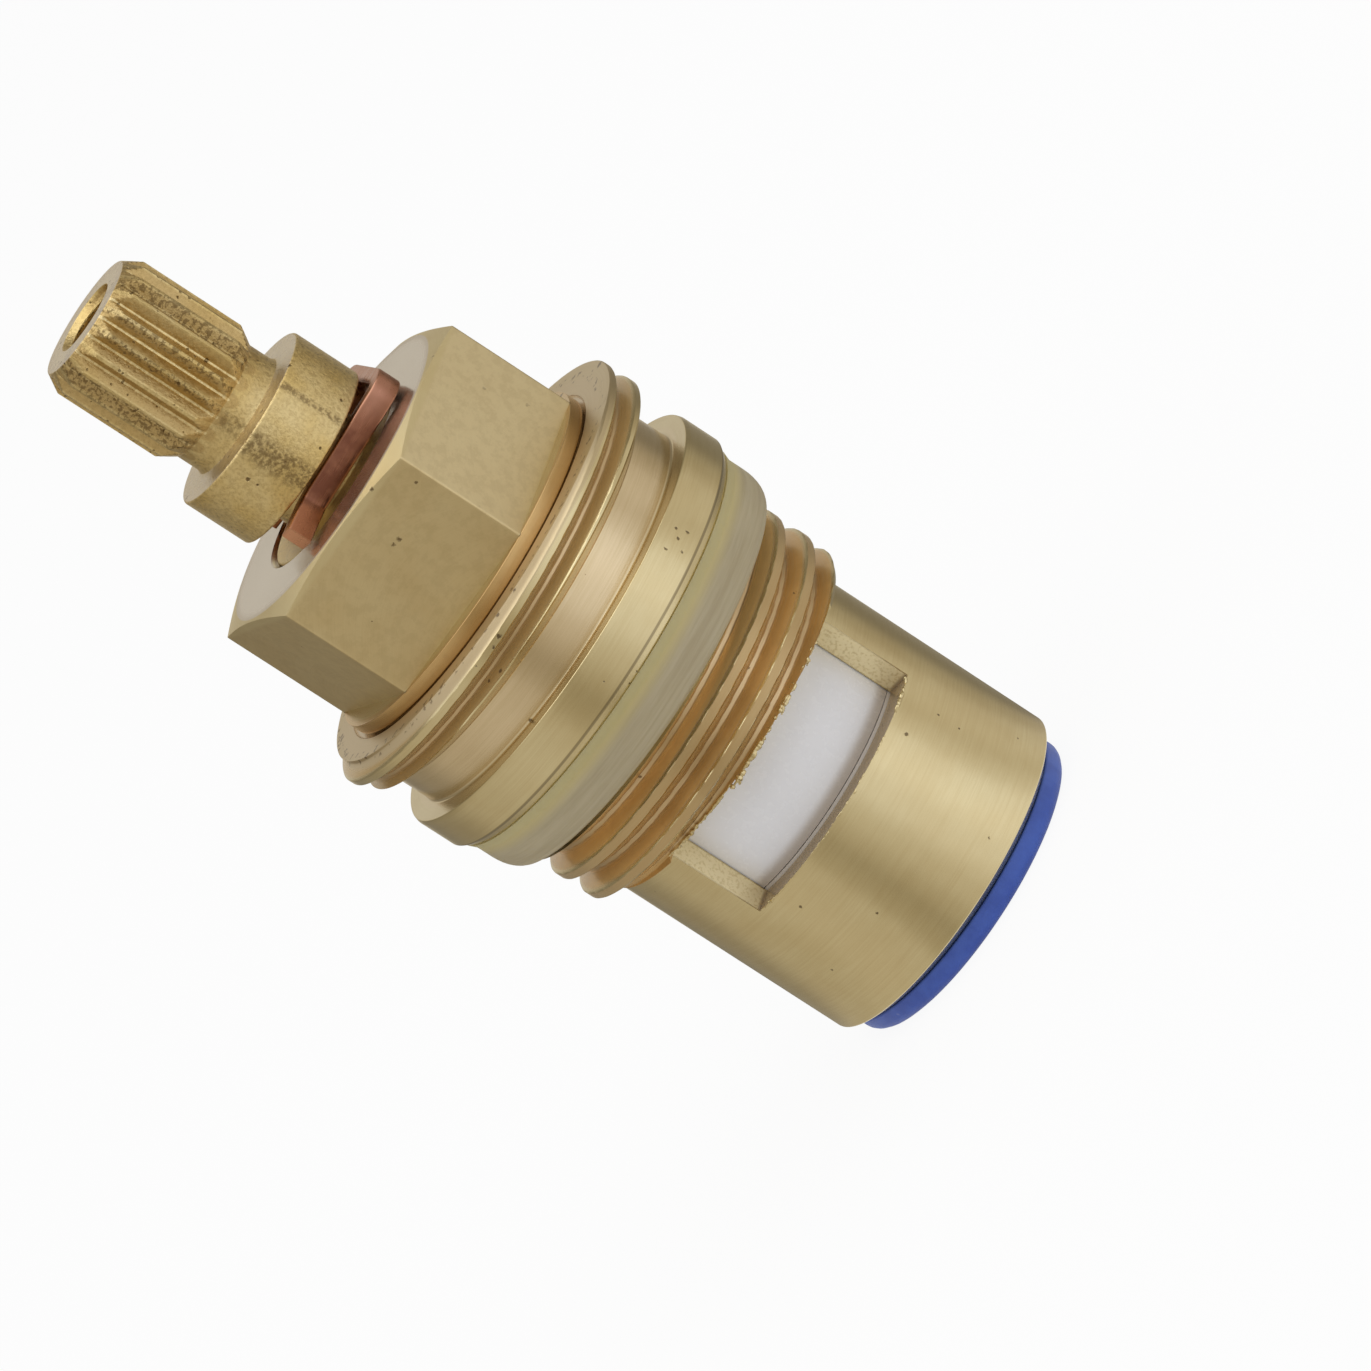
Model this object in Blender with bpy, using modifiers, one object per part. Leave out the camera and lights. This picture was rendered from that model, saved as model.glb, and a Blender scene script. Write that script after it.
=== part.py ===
"""Half-inch ceramic disc tap cartridge. A splined spindle turns one ceramic disc on another, by 90 degrees.

Lengths are in metres. +Z runs up the spindle, and the origin is the middle of the blue seal's face, on which
the cartridge stands. The two water windows face -Y and +Y. At rest the cartridge is shut: the moving disc's
lobes close the windows and the fixed disc's ports.
"""

import math

import bmesh
import bpy

# Brass body, outside
HEX_FLATS = 0.0170
HEX_FACE_RADIUS = 0.00835
HEX_CHAMFER_DROP = 0.00046
HEX_HEIGHT = 0.0075
HEX_CORNER_AT = -78.4
LAND_HEIGHT = 0.00045
UNDERCUT_RADIUS = 0.0094
UNDERCUT_HEIGHT = 0.0003
RIM_RADIUS = 0.01215
RIM_HEIGHT = 0.00195
RIM_SLOPE_HEIGHT = 0.00098
RIM_EDGE = 0.0003
RIM_PITCH = 0.0015
RIM_THREAD_DEPTH = 0.0008
RIM_CREST_BELOW_TOP = 0.00012
GROOVE_RADIUS = 0.01075
GROOVE_HEIGHT = 0.0018
FLANGE_RADIUS = 0.0120
FLANGE_HEIGHT = 0.0032
FLANGE_EDGE = 0.0002
FLANGE_BEVEL_WIDTH = 0.00075
FLANGE_BEVEL_HEIGHT = 0.0010
RELIEF_BELOW_ROOT = 0.0001075
THREAD_RADIUS = 0.0104775
THREAD_HEIGHT = 0.0047
THREAD_CHAMFER = 0.0004
THREAD_PITCH = 0.001814
THREAD_DEPTH = 0.00112
THREAD_CREST_BELOW_TOP = 0.0007
THREAD_FLAT = 1 / 6
CAGE_RADIUS = 0.0092
CAGE_WALL = 0.0015
FOOT_BEVEL_WIDTH = 0.0008
FOOT_BEVEL_HEIGHT = 0.00045
BORE_CHAMFER = 0.00026

# Water windows in the sleeve, and the ribs inside it
WINDOW_ANGLE = 97.6
WINDOW_BELOW_DISC = 0.0002
WINDOW_HEIGHT = 0.0052
THREAD_CUT_BY_WINDOW = 0.0002
KEY_WIDTH = 0.0020
KEY_DEPTH = 0.0009
STOP_ANGLE = 28.0
STOP_DEPTH = 0.0015

# Brass spindle
SPLINE_RADIUS = 0.00386
SPLINE_TEETH = 20
SPLINE_ROOT_RADIUS = 0.00338
SPLINE_CREST_WIDTH = 0.00028
SPLINE_CREST_AT = -95.5
SPLINE_HEIGHT = 0.0076
SPLINE_TOP_CHAMFER_HEIGHT = 0.00094
SPLINE_TOP_RADIUS = 0.00329
SPLINE_LOW_CHAMFER_HEIGHT = 0.0009
NECK_RADIUS = 0.00327
NECK_HEIGHT = 0.00156
NECK_FILLET = 0.0003
SPLINE_RUN_OUT = 0.0002
COLLAR_RADIUS = 0.0050
COLLAR_HEIGHT = 0.00374
COLLAR_CHAMFER = 0.00016
HOLE_RADIUS = 0.00165
HOLE_DEPTH = 0.0120
HOLE_TIP = 0.0009
HOLE_CHAMFER = 0.00033
JOURNAL_RADIUS = 0.0050
JOURNAL_BELOW_HEX = 0.0001
SPINDLE_FLANGE_HEIGHT = 0.0021
SPINDLE_HUB_RADIUS = 0.0058
WING_RADIUS = 0.0073
WING_AT = 45.0
QUARTER_TURN = 90.0
WING_PLAY = 3.0
TONGUE_WIDTH = 0.0036
TONGUE_LENGTH = 0.0098
TONGUE_HEIGHT = 0.0024

# Copper clip in the spindle's groove
CLIP_GROOVE_RADIUS = 0.0031
CLIP_GROOVE_HEIGHT = 0.0019
CLIP_THICKNESS = 0.0013
CLIP_STRIP = 0.0009
CLIP_LEG_GAP = 0.0064
CLIP_BACK_REACH = 0.0056
CLIP_LEG_REACH = 0.0019
CLIP_TIP_RUN = 0.0019
CLIP_TIP_FLARE = 0.0013
CLIP_CORNER = 0.0011
CLIP_EDGE = 0.0001

# O-rings on the journal
O_RING_SECTION = 0.00062
O_RING_GROOVE_RADIUS = 0.0037
O_RING_GROOVE_HEIGHT = 0.0018
LOWER_O_RING_ABOVE_FLANGE = 0.0040
O_RING_SPACING = 0.0050

# Ceramic discs
MOVING_DISC_THICKNESS = 0.0056
FIXED_DISC_THICKNESS = 0.0047
LOBE_ANGLE = 104.0
DISC_HUB_RADIUS = 0.0034
PORT_ANGLE = 66.0
PORT_INNER_RADIUS = 0.0026
PORT_OUTER_RADIUS = 0.0058
DISC_CHAMFER = 0.0002

# Rubber seal, its support ring, the thrust washer and the body washer
SEAL_FLANGE_HEIGHT = 0.00125
SEAL_FLANGE_RADIUS = 0.00845
SEAL_EDGE_ROUND = 0.0006
SEAL_DEPTH = 0.0042
SEAL_LIP_RADIUS = 0.0056
SEAL_LIP_HEIGHT = 0.0009
SEAL_WALL = 0.0011
SUPPORT_WALL = 0.0006
THRUST_THICKNESS = 0.00075
THRUST_WALL = 0.00107
BODY_WASHER_WALL = 0.0009425
BODY_WASHER_THICKNESS = 0.0028
BODY_WASHER_TOP_ROUND = 0.0003
BODY_WASHER_LOW_WIDTH = 0.0006
BODY_WASHER_LOW_HEIGHT = 0.0015

# Clearances
RUNNING_CLEAR = 0.00005
SEAT_GAP = 0.00005
SOFT_GAP = 0.00008
FLANGE_LIFT = 0.0003

ROUND_STEPS = 60
SMALL_STEPS = 40
THREAD_STEPS = 30
EDGE_STEPS = 3
O_RING_SIDES = 8
CUT_BEYOND = 0.002
CUT_CLEAR = 0.0001
SMOOTH_BELOW = math.radians(32)

# Levels, from the seal's face up
FOOT_Z = SEAL_FLANGE_HEIGHT + SEAT_GAP
SEAL_TOP_Z = FOOT_Z + SEAL_DEPTH
FIXED_LOW_Z = SEAL_TOP_Z + SEAT_GAP
FIXED_TOP_Z = FIXED_LOW_Z + FIXED_DISC_THICKNESS
MOVING_LOW_Z = FIXED_TOP_Z + SEAT_GAP
MOVING_TOP_Z = MOVING_LOW_Z + MOVING_DISC_THICKNESS
FLANGE_LOW_Z = MOVING_TOP_Z + FLANGE_LIFT
FLANGE_TOP_Z = FLANGE_LOW_Z + SPINDLE_FLANGE_HEIGHT
SHOULDER_Z = FLANGE_TOP_Z + THRUST_THICKNESS + 2 * SEAT_GAP
WINDOW_LOW_Z = MOVING_LOW_Z - WINDOW_BELOW_DISC
WINDOW_TOP_Z = WINDOW_LOW_Z + WINDOW_HEIGHT
THREAD_LOW_Z = WINDOW_TOP_Z - THREAD_CUT_BY_WINDOW
THREAD_TOP_Z = THREAD_LOW_Z + THREAD_HEIGHT
BODY_FLANGE_LOW_Z = THREAD_TOP_Z + BODY_WASHER_THICKNESS
BODY_FLANGE_TOP_Z = BODY_FLANGE_LOW_Z + FLANGE_HEIGHT
RIM_SLOPE_Z = BODY_FLANGE_TOP_Z + GROOVE_HEIGHT
RIM_LOW_Z = RIM_SLOPE_Z + RIM_SLOPE_HEIGHT
RIM_TOP_Z = RIM_LOW_Z + RIM_HEIGHT
LAND_LOW_Z = RIM_TOP_Z + UNDERCUT_HEIGHT
HEX_LOW_Z = LAND_LOW_Z + LAND_HEIGHT
HEX_TOP_Z = HEX_LOW_Z + HEX_HEIGHT
JOURNAL_TOP_Z = HEX_TOP_Z - JOURNAL_BELOW_HEX
COLLAR_LOW_Z = JOURNAL_TOP_Z + CLIP_GROOVE_HEIGHT
COLLAR_TOP_Z = COLLAR_LOW_Z + COLLAR_HEIGHT
SPLINE_LOW_Z = COLLAR_TOP_Z + NECK_HEIGHT
SPINDLE_TOP_Z = SPLINE_LOW_Z + SPLINE_HEIGHT
CLIP_Z = JOURNAL_TOP_Z + CLIP_GROOVE_HEIGHT / 2

# Radii that follow from the fits
HEX_CORNER_RADIUS = HEX_FLATS / 2 / math.cos(math.radians(30))
RELIEF_RADIUS = THREAD_RADIUS - THREAD_DEPTH - RELIEF_BELOW_ROOT
CAGE_BORE_RADIUS = CAGE_RADIUS - CAGE_WALL
SPINDLE_BORE_RADIUS = JOURNAL_RADIUS + RUNNING_CLEAR
DISC_RADIUS = CAGE_BORE_RADIUS - RUNNING_CLEAR
SEAL_PLUG_RADIUS = CAGE_BORE_RADIUS - SOFT_GAP
SUPPORT_OUTER_RADIUS = SEAL_PLUG_RADIUS - SEAL_WALL - SEAT_GAP
THRUST_RADIUS = SPINDLE_BORE_RADIUS + THRUST_WALL
BODY_WASHER_INNER_RADIUS = THREAD_RADIUS + SOFT_GAP
BODY_WASHER_RADIUS = BODY_WASHER_INNER_RADIUS + BODY_WASHER_WALL


def clear_scene():
    """Empties the scene, so that only the cartridge is in it."""
    for obj in list(bpy.data.objects):
        bpy.data.objects.remove(obj, do_unlink=True)


def new_collection(name):
    """A collection of this name in the scene."""
    collection = bpy.data.collections.new(name)
    bpy.context.scene.collection.children.link(collection)
    return collection


def new_material(name, colour, roughness, metallic):
    """A Principled BSDF with one colour, roughness and metallic value."""
    material = bpy.data.materials.new(name)
    material.use_nodes = True
    shader = material.node_tree.nodes["Principled BSDF"]
    shader.inputs["Base Color"].default_value = (*colour, 1.0)
    shader.inputs["Roughness"].default_value = roughness
    shader.inputs["Metallic"].default_value = metallic
    material.diffuse_color = (*colour, 1.0)
    return material


def add_object(name, data, collection, material=None):
    """Links a new object for this mesh or curve, with its material."""
    obj = bpy.data.objects.new(name, data)
    collection.objects.link(obj)
    if material:
        data.materials.append(material)
    return obj


def arc(centre_x, centre_z, radius, start, end, steps=EDGE_STEPS):
    """Points on an arc of the turning profile, from the start angle to the end angle in degrees."""
    points = []
    for step in range(steps + 1):
        angle = math.radians(start + (end - start) * step / steps)
        points.append((centre_x + radius * math.cos(angle), centre_z + radius * math.sin(angle)))
    return points


def turned(name, profile, collection, material=None, ring=True, steps=ROUND_STEPS):
    """A turned piece: the (radius, height) profile spun about Z. A ring's profile closes on itself."""
    mesh = bpy.data.meshes.new(name)
    edges = [(i, i + 1) for i in range(len(profile) - 1)]
    if ring:
        edges.append((len(profile) - 1, 0))
    mesh.from_pydata([(radius, 0, height) for radius, height in profile], edges, [])
    obj = add_object(name, mesh, collection, material)
    screw = obj.modifiers.new("turn", "SCREW")
    screw.axis = "Z"
    screw.angle = math.tau
    screw.steps = steps
    screw.render_steps = steps
    screw.use_merge_vertices = True
    screw.merge_threshold = 1e-6
    screw.use_smooth_shade = True
    return obj


def circle(radius, steps=ROUND_STEPS):
    """A round outline, as (x, y) points."""
    return polar_points(radius, 0, 360, steps)[:-1]


def polar_points(radius, start, end, steps):
    """Points on a circle about Z, from the start angle to the end angle in degrees."""
    points = []
    for step in range(steps + 1):
        angle = math.radians(start + (end - start) * step / steps)
        points.append((radius * math.cos(angle), radius * math.sin(angle)))
    return points


def sector(inner, outer, middle, width, steps=12):
    """The outline of a ring's sector, about its middle angle in degrees."""
    outside = polar_points(outer, middle - width / 2, middle + width / 2, steps)
    inside = polar_points(inner, middle + width / 2, middle - width / 2, steps)
    return outside + inside


def plate(name, outlines, low, high, collection, material=None):
    """A flat plate between two levels. The first outline is its rim and any others are holes in it."""
    curve = bpy.data.curves.new(name, "CURVE")
    curve.dimensions = "2D"
    curve.fill_mode = "BOTH"
    curve.extrude = (high - low) / 2
    for outline in outlines:
        spline = curve.splines.new("POLY")
        spline.points.add(len(outline) - 1)
        for point, (x, y) in zip(spline.points, outline):
            point.co = (x, y, 0, 1)
        spline.use_cyclic_u = True
    flat = add_object(name + "_outline", curve, collection)
    flat.location.z = (low + high) / 2
    bpy.context.view_layer.update()
    mesh = bpy.data.meshes.new_from_object(flat.evaluated_get(bpy.context.evaluated_depsgraph_get()))
    mesh.transform(flat.matrix_world)
    bpy.data.objects.remove(flat, do_unlink=True)
    mesh.name = name
    shape = bmesh.new()
    shape.from_mesh(mesh)
    bmesh.ops.remove_doubles(shape, verts=shape.verts, dist=1e-7)
    bmesh.ops.recalc_face_normals(shape, faces=shape.faces)
    shape.to_mesh(mesh)
    shape.free()
    mesh.materials.clear()
    return add_object(name, mesh, collection, material)


def boolean(obj, other, operation):
    """Cuts or joins another solid, which stays behind as a hidden wire guide."""
    other.hide_render = True
    other.display_type = "WIRE"
    modifier = obj.modifiers.new(other.name, "BOOLEAN")
    modifier.operation = operation
    modifier.solver = "EXACT"
    modifier.object = other


def thread_groove(name, radius, pitch, depth, crest, low, high, collection):
    """The winding V groove of a right-hand thread, cut from below it to above it.

    The crest is the level of one crest on the +X side. The groove's section starts midway between two edges
    of the turned blank, half a pitch from a crest, and is wound up from there.
    """
    half_root = pitch * THREAD_FLAT / 2
    slope = (pitch / 2 - 2 * half_root) / depth
    half_mouth = half_root + slope * (depth + CUT_CLEAR)
    turn = math.pi / ROUND_STEPS
    start = crest - pitch / 2 - math.ceil((crest - low) / pitch) * pitch
    steps = math.ceil((high - start + half_mouth) / pitch * THREAD_STEPS)
    section = [
        (radius - depth, start - half_root),
        (radius - depth, start + half_root),
        (radius + CUT_CLEAR, start + half_mouth),
        (radius + CUT_CLEAR, start - half_mouth),
    ]
    rise = pitch * turn / math.tau
    shape = bmesh.new()
    corners = [shape.verts.new((x * math.cos(turn), x * math.sin(turn), z + rise)) for x, z in section]
    face = shape.faces.new(corners)
    bmesh.ops.spin(
        shape,
        geom=[*corners, *face.edges, face],
        axis=(0, 0, 1),
        dvec=(0, 0, pitch / THREAD_STEPS),
        angle=math.tau * steps / THREAD_STEPS,
        steps=steps,
    )
    bmesh.ops.recalc_face_normals(shape, faces=shape.faces)
    mesh = bpy.data.meshes.new(name)
    shape.to_mesh(mesh)
    shape.free()
    return add_object(name, mesh, collection)


def break_edges(obj, width, segments=1):
    """Takes the sharp edges off a plate, but not the facets of its round stretches."""
    bevel = obj.modifiers.new("broken_edges", "BEVEL")
    bevel.width = width
    bevel.segments = segments
    bevel.limit_method = "ANGLE"
    bevel.angle_limit = math.radians(50)


def make_body(parts, cutters, brass):
    """The brass body: a turned blank, milled to a hexagon, with two threads, windows, keys and stop ribs."""
    profile = [
        (SPINDLE_BORE_RADIUS + BORE_CHAMFER, HEX_TOP_Z),
        (HEX_FACE_RADIUS, HEX_TOP_Z),
        (HEX_CORNER_RADIUS, HEX_TOP_Z - HEX_CHAMFER_DROP),
        (HEX_CORNER_RADIUS, LAND_LOW_Z),
        (UNDERCUT_RADIUS, LAND_LOW_Z - UNDERCUT_HEIGHT / 2),
        (UNDERCUT_RADIUS, RIM_TOP_Z),
        (RIM_RADIUS - RIM_EDGE, RIM_TOP_Z),
        (RIM_RADIUS, RIM_TOP_Z - RIM_EDGE),
        (RIM_RADIUS, RIM_LOW_Z),
        (GROOVE_RADIUS, RIM_SLOPE_Z),
        (GROOVE_RADIUS, BODY_FLANGE_TOP_Z),
        (FLANGE_RADIUS - FLANGE_EDGE, BODY_FLANGE_TOP_Z),
        (FLANGE_RADIUS, BODY_FLANGE_TOP_Z - FLANGE_EDGE),
        (FLANGE_RADIUS, BODY_FLANGE_LOW_Z + FLANGE_BEVEL_HEIGHT),
        (FLANGE_RADIUS - FLANGE_BEVEL_WIDTH, BODY_FLANGE_LOW_Z),
        (RELIEF_RADIUS, BODY_FLANGE_LOW_Z),
        (RELIEF_RADIUS, THREAD_TOP_Z),
        (THREAD_RADIUS, THREAD_TOP_Z - THREAD_CHAMFER),
        (THREAD_RADIUS, THREAD_LOW_Z + THREAD_CHAMFER),
        (THREAD_RADIUS - THREAD_CHAMFER, THREAD_LOW_Z),
        (CAGE_RADIUS, THREAD_LOW_Z),
        (CAGE_RADIUS, FOOT_Z + FOOT_BEVEL_HEIGHT),
        (CAGE_RADIUS - FOOT_BEVEL_WIDTH, FOOT_Z),
        (CAGE_BORE_RADIUS + BORE_CHAMFER, FOOT_Z),
        (CAGE_BORE_RADIUS, FOOT_Z + BORE_CHAMFER),
        (CAGE_BORE_RADIUS, SHOULDER_Z),
        (SPINDLE_BORE_RADIUS, SHOULDER_Z),
        (SPINDLE_BORE_RADIUS, HEX_TOP_Z - BORE_CHAMFER),
    ]
    body = turned("headwork_body", profile, parts, brass)

    hexagon = polar_points(HEX_CORNER_RADIUS, HEX_CORNER_AT, HEX_CORNER_AT + 360, 6)[:-1]
    mill = [circle(HEX_CORNER_RADIUS + CUT_BEYOND), hexagon]
    boolean(body, plate("hexagon_mill", mill, HEX_LOW_Z, HEX_TOP_Z + CUT_BEYOND, cutters), "DIFFERENCE")

    for side, middle in (("front", -90), ("back", 90)):
        outline = sector(CAGE_BORE_RADIUS - CUT_BEYOND, THREAD_RADIUS + CUT_BEYOND, middle, WINDOW_ANGLE)
        window = plate(side + "_window_cut", [outline], WINDOW_LOW_Z, WINDOW_TOP_Z, cutters)
        boolean(body, window, "DIFFERENCE")

    into_wall = CAGE_BORE_RADIUS + CAGE_WALL / 2
    key_angle = math.degrees(KEY_WIDTH / CAGE_BORE_RADIUS)
    for side, middle in (("right", 0), ("left", 180)):
        outline = sector(CAGE_BORE_RADIUS - KEY_DEPTH, into_wall, middle, key_angle, 3)
        key = plate(side + "_key", [outline], FIXED_LOW_Z, FIXED_TOP_Z - SEAT_GAP, cutters)
        boolean(body, key, "UNION")
        outline = sector(CAGE_BORE_RADIUS - STOP_DEPTH, into_wall, middle, STOP_ANGLE, 4)
        stop = plate(side + "_stop", [outline], FLANGE_LOW_Z, SHOULDER_Z + CAGE_WALL / 2, cutters)
        boolean(body, stop, "UNION")

    crest = THREAD_TOP_Z - THREAD_CREST_BELOW_TOP
    groove = thread_groove("pipe_thread_cut", THREAD_RADIUS, THREAD_PITCH, THREAD_DEPTH, crest,
                           THREAD_LOW_Z, THREAD_TOP_Z, cutters)
    boolean(body, groove, "DIFFERENCE")
    crest = RIM_TOP_Z - RIM_CREST_BELOW_TOP
    groove = thread_groove("rim_thread_cut", RIM_RADIUS, RIM_PITCH, RIM_THREAD_DEPTH, crest,
                           RIM_LOW_Z, RIM_TOP_Z, cutters)
    boolean(body, groove, "DIFFERENCE")
    return body


def spline_outline():
    """The spline's star: narrow crests with straight-sided V grooves between them."""
    points = []
    half_crest = math.degrees(SPLINE_CREST_WIDTH / 2 / SPLINE_RADIUS)
    pitch = 360 / SPLINE_TEETH
    for tooth in range(SPLINE_TEETH):
        middle = SPLINE_CREST_AT + tooth * pitch
        points += polar_points(SPLINE_RADIUS + CUT_CLEAR, middle - half_crest, middle + half_crest, 1)
        points += polar_points(SPLINE_ROOT_RADIUS, middle + pitch / 2, middle + pitch, 1)[:1]
    return points


def wing_outline():
    """The spindle's flange seen from above: a round hub with two stop wings."""
    wing_angle = 180 - STOP_ANGLE - QUARTER_TURN - 2 * WING_PLAY
    points = []
    for middle in (WING_AT, WING_AT + 180):
        points += polar_points(WING_RADIUS, middle - wing_angle / 2, middle + wing_angle / 2, 8)
        points += polar_points(SPINDLE_HUB_RADIUS, middle + wing_angle / 2, middle + 180 - wing_angle / 2, 12)
    return points


def o_ring_level(index):
    """The middle of an O-ring groove, counted up from the spindle's flange."""
    return FLANGE_TOP_Z + LOWER_O_RING_ABOVE_FLANGE + index * O_RING_SPACING


def o_ring_groove(index):
    """The four profile corners of an O-ring groove, on the way down the journal."""
    high = o_ring_level(index) + O_RING_GROOVE_HEIGHT / 2
    low = high - O_RING_GROOVE_HEIGHT
    return [
        (JOURNAL_RADIUS, high),
        (O_RING_GROOVE_RADIUS, high),
        (O_RING_GROOVE_RADIUS, low),
        (JOURNAL_RADIUS, low),
    ]


def make_spindle(parts, cutters, brass):
    """The spindle: one turned bar with a splined head, a clip groove, a journal, stop wings and a tongue."""
    fillet = arc(NECK_RADIUS + NECK_FILLET, COLLAR_TOP_Z + NECK_FILLET, NECK_FILLET, 180, 270)
    tongue_low = FLANGE_LOW_Z - TONGUE_HEIGHT
    profile = [
        (0, SPINDLE_TOP_Z - HOLE_DEPTH - HOLE_TIP),
        (HOLE_RADIUS, SPINDLE_TOP_Z - HOLE_DEPTH),
        (HOLE_RADIUS, SPINDLE_TOP_Z - HOLE_CHAMFER),
        (HOLE_RADIUS + HOLE_CHAMFER, SPINDLE_TOP_Z),
        (SPLINE_TOP_RADIUS, SPINDLE_TOP_Z),
        (SPLINE_RADIUS, SPINDLE_TOP_Z - SPLINE_TOP_CHAMFER_HEIGHT),
        (SPLINE_RADIUS, SPLINE_LOW_Z + SPLINE_LOW_CHAMFER_HEIGHT),
        (NECK_RADIUS, SPLINE_LOW_Z),
        *fillet,
        (COLLAR_RADIUS - COLLAR_CHAMFER, COLLAR_TOP_Z),
        (COLLAR_RADIUS, COLLAR_TOP_Z - COLLAR_CHAMFER),
        (COLLAR_RADIUS, COLLAR_LOW_Z + COLLAR_CHAMFER),
        (COLLAR_RADIUS - COLLAR_CHAMFER, COLLAR_LOW_Z),
        (CLIP_GROOVE_RADIUS, COLLAR_LOW_Z),
        (CLIP_GROOVE_RADIUS, JOURNAL_TOP_Z),
        (JOURNAL_RADIUS - COLLAR_CHAMFER, JOURNAL_TOP_Z),
        (JOURNAL_RADIUS, JOURNAL_TOP_Z - COLLAR_CHAMFER),
        *o_ring_groove(1),
        *o_ring_groove(0),
        (JOURNAL_RADIUS, FLANGE_TOP_Z),
        (WING_RADIUS, FLANGE_TOP_Z),
        (WING_RADIUS, FLANGE_LOW_Z),
        (TONGUE_LENGTH / 2, FLANGE_LOW_Z),
        (TONGUE_LENGTH / 2, tongue_low),
        (0, tongue_low),
    ]
    spindle = turned("spindle", profile, parts, brass, ring=False, steps=SMALL_STEPS)

    broach = [circle(SPLINE_RADIUS + CUT_BEYOND), spline_outline()]
    broach_low = SPLINE_LOW_Z - SPLINE_RUN_OUT
    broach_high = SPINDLE_TOP_Z + CUT_BEYOND
    boolean(spindle, plate("spline_broach", broach, broach_low, broach_high, cutters), "DIFFERENCE")

    wings = [circle(WING_RADIUS + CUT_BEYOND), wing_outline()]
    wing_low = FLANGE_LOW_Z - SEAT_GAP
    wing_high = FLANGE_TOP_Z + CUT_BEYOND
    boolean(spindle, plate("wing_mill", wings, wing_low, wing_high, cutters), "DIFFERENCE")

    half = TONGUE_WIDTH / 2
    reach = TONGUE_LENGTH / 2 + CUT_CLEAR
    bar = [(half, -reach), (half, reach), (-half, reach), (-half, -reach)]
    flats = [circle(TONGUE_LENGTH / 2 + CUT_BEYOND), bar]
    flats_low = tongue_low - CUT_BEYOND
    boolean(spindle, plate("tongue_mill", flats, flats_low, FLANGE_LOW_Z, cutters), "DIFFERENCE")
    return spindle


def clip_outline():
    """The clip's strip seen from above: a U with round corners and two flared tips, around a centre line."""
    side = (CLIP_LEG_GAP + CLIP_STRIP) / 2
    back = CLIP_BACK_REACH - CLIP_STRIP / 2
    tip_x = -CLIP_LEG_REACH - CLIP_TIP_RUN
    flare = math.atan2(CLIP_TIP_FLARE, CLIP_TIP_RUN)
    half = CLIP_STRIP / 2
    bend = half * math.tan(flare / 2)
    tip_dx = half * math.sin(flare)
    tip_dy = half * math.cos(flare)

    def one_side(offset, corner, shift_bend):
        """Half of one edge of the strip, from a tip to the middle of the back."""
        points = [
            (tip_x + math.copysign(tip_dx, offset), side + CLIP_TIP_FLARE + math.copysign(tip_dy, offset)),
            (-CLIP_LEG_REACH + shift_bend, side + offset),
        ]
        centre = (back + offset - corner, side + offset - corner)
        for step in range(EDGE_STEPS + 1):
            angle = math.pi / 2 * (1 - step / EDGE_STEPS)
            points.append((centre[0] + corner * math.cos(angle), centre[1] + corner * math.sin(angle)))
        return points

    outer = one_side(half, CLIP_CORNER, bend)
    inner = one_side(-half, CLIP_CORNER - half, -bend)
    outer_loop = outer + [(x, -y) for x, y in reversed(outer)]
    inner_loop = inner + [(x, -y) for x, y in reversed(inner)]
    return outer_loop + inner_loop[::-1]


def make_clip(parts, copper):
    """The U clip, bent from a strip and pushed into the spindle's groove from the +X side."""
    low = CLIP_Z - CLIP_THICKNESS / 2
    clip = plate("retaining_clip", [clip_outline()], low, low + CLIP_THICKNESS, parts, copper)
    break_edges(clip, CLIP_EDGE)
    return clip


def make_moving_disc(parts, cutters, ceramic):
    """The turning disc: two lobes joined by a hub, with a slot on top for the spindle's tongue."""
    points = []
    for middle in (-90, 90):
        points += polar_points(DISC_RADIUS, middle - LOBE_ANGLE / 2, middle + LOBE_ANGLE / 2, 16)
        points += polar_points(DISC_HUB_RADIUS, middle + LOBE_ANGLE / 2, middle + 180 - LOBE_ANGLE / 2, 6)
    disc = plate("moving_disc", [points], MOVING_LOW_Z, MOVING_TOP_Z, parts, ceramic)
    break_edges(disc, DISC_CHAMFER)

    half = TONGUE_WIDTH / 2 + SOFT_GAP
    end_radius = TONGUE_LENGTH / 2 + SOFT_GAP
    turn = math.degrees(math.asin(half / end_radius))
    slot_points = polar_points(end_radius, 90 - turn, 90 + turn, 6)
    slot_points += polar_points(end_radius, 270 - turn, 270 + turn, 6)
    slot_low = FLANGE_LOW_Z - TONGUE_HEIGHT - FLANGE_LIFT
    slot = plate("tongue_slot", [slot_points], slot_low, MOVING_TOP_Z + CUT_BEYOND, cutters)
    boolean(disc, slot, "DIFFERENCE")
    return disc


def make_fixed_disc(parts, ceramic):
    """The disc that stays still: two sector ports on Y, and notches on X for the body's keys."""
    notch = math.degrees((KEY_WIDTH + 2 * SOFT_GAP) / CAGE_BORE_RADIUS) / 2
    notch_radius = CAGE_BORE_RADIUS - KEY_DEPTH - SOFT_GAP
    rim = []
    for middle in (0, 180):
        rim += polar_points(notch_radius, middle - notch, middle + notch, 3)
        rim += polar_points(DISC_RADIUS, middle + notch, middle + 180 - notch, 24)
    ports = [sector(PORT_INNER_RADIUS, PORT_OUTER_RADIUS, middle, PORT_ANGLE) for middle in (-90, 90)]
    disc = plate("fixed_disc", [rim, *ports], FIXED_LOW_Z, FIXED_TOP_Z, parts, ceramic)
    break_edges(disc, DISC_CHAMFER)
    return disc


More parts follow.
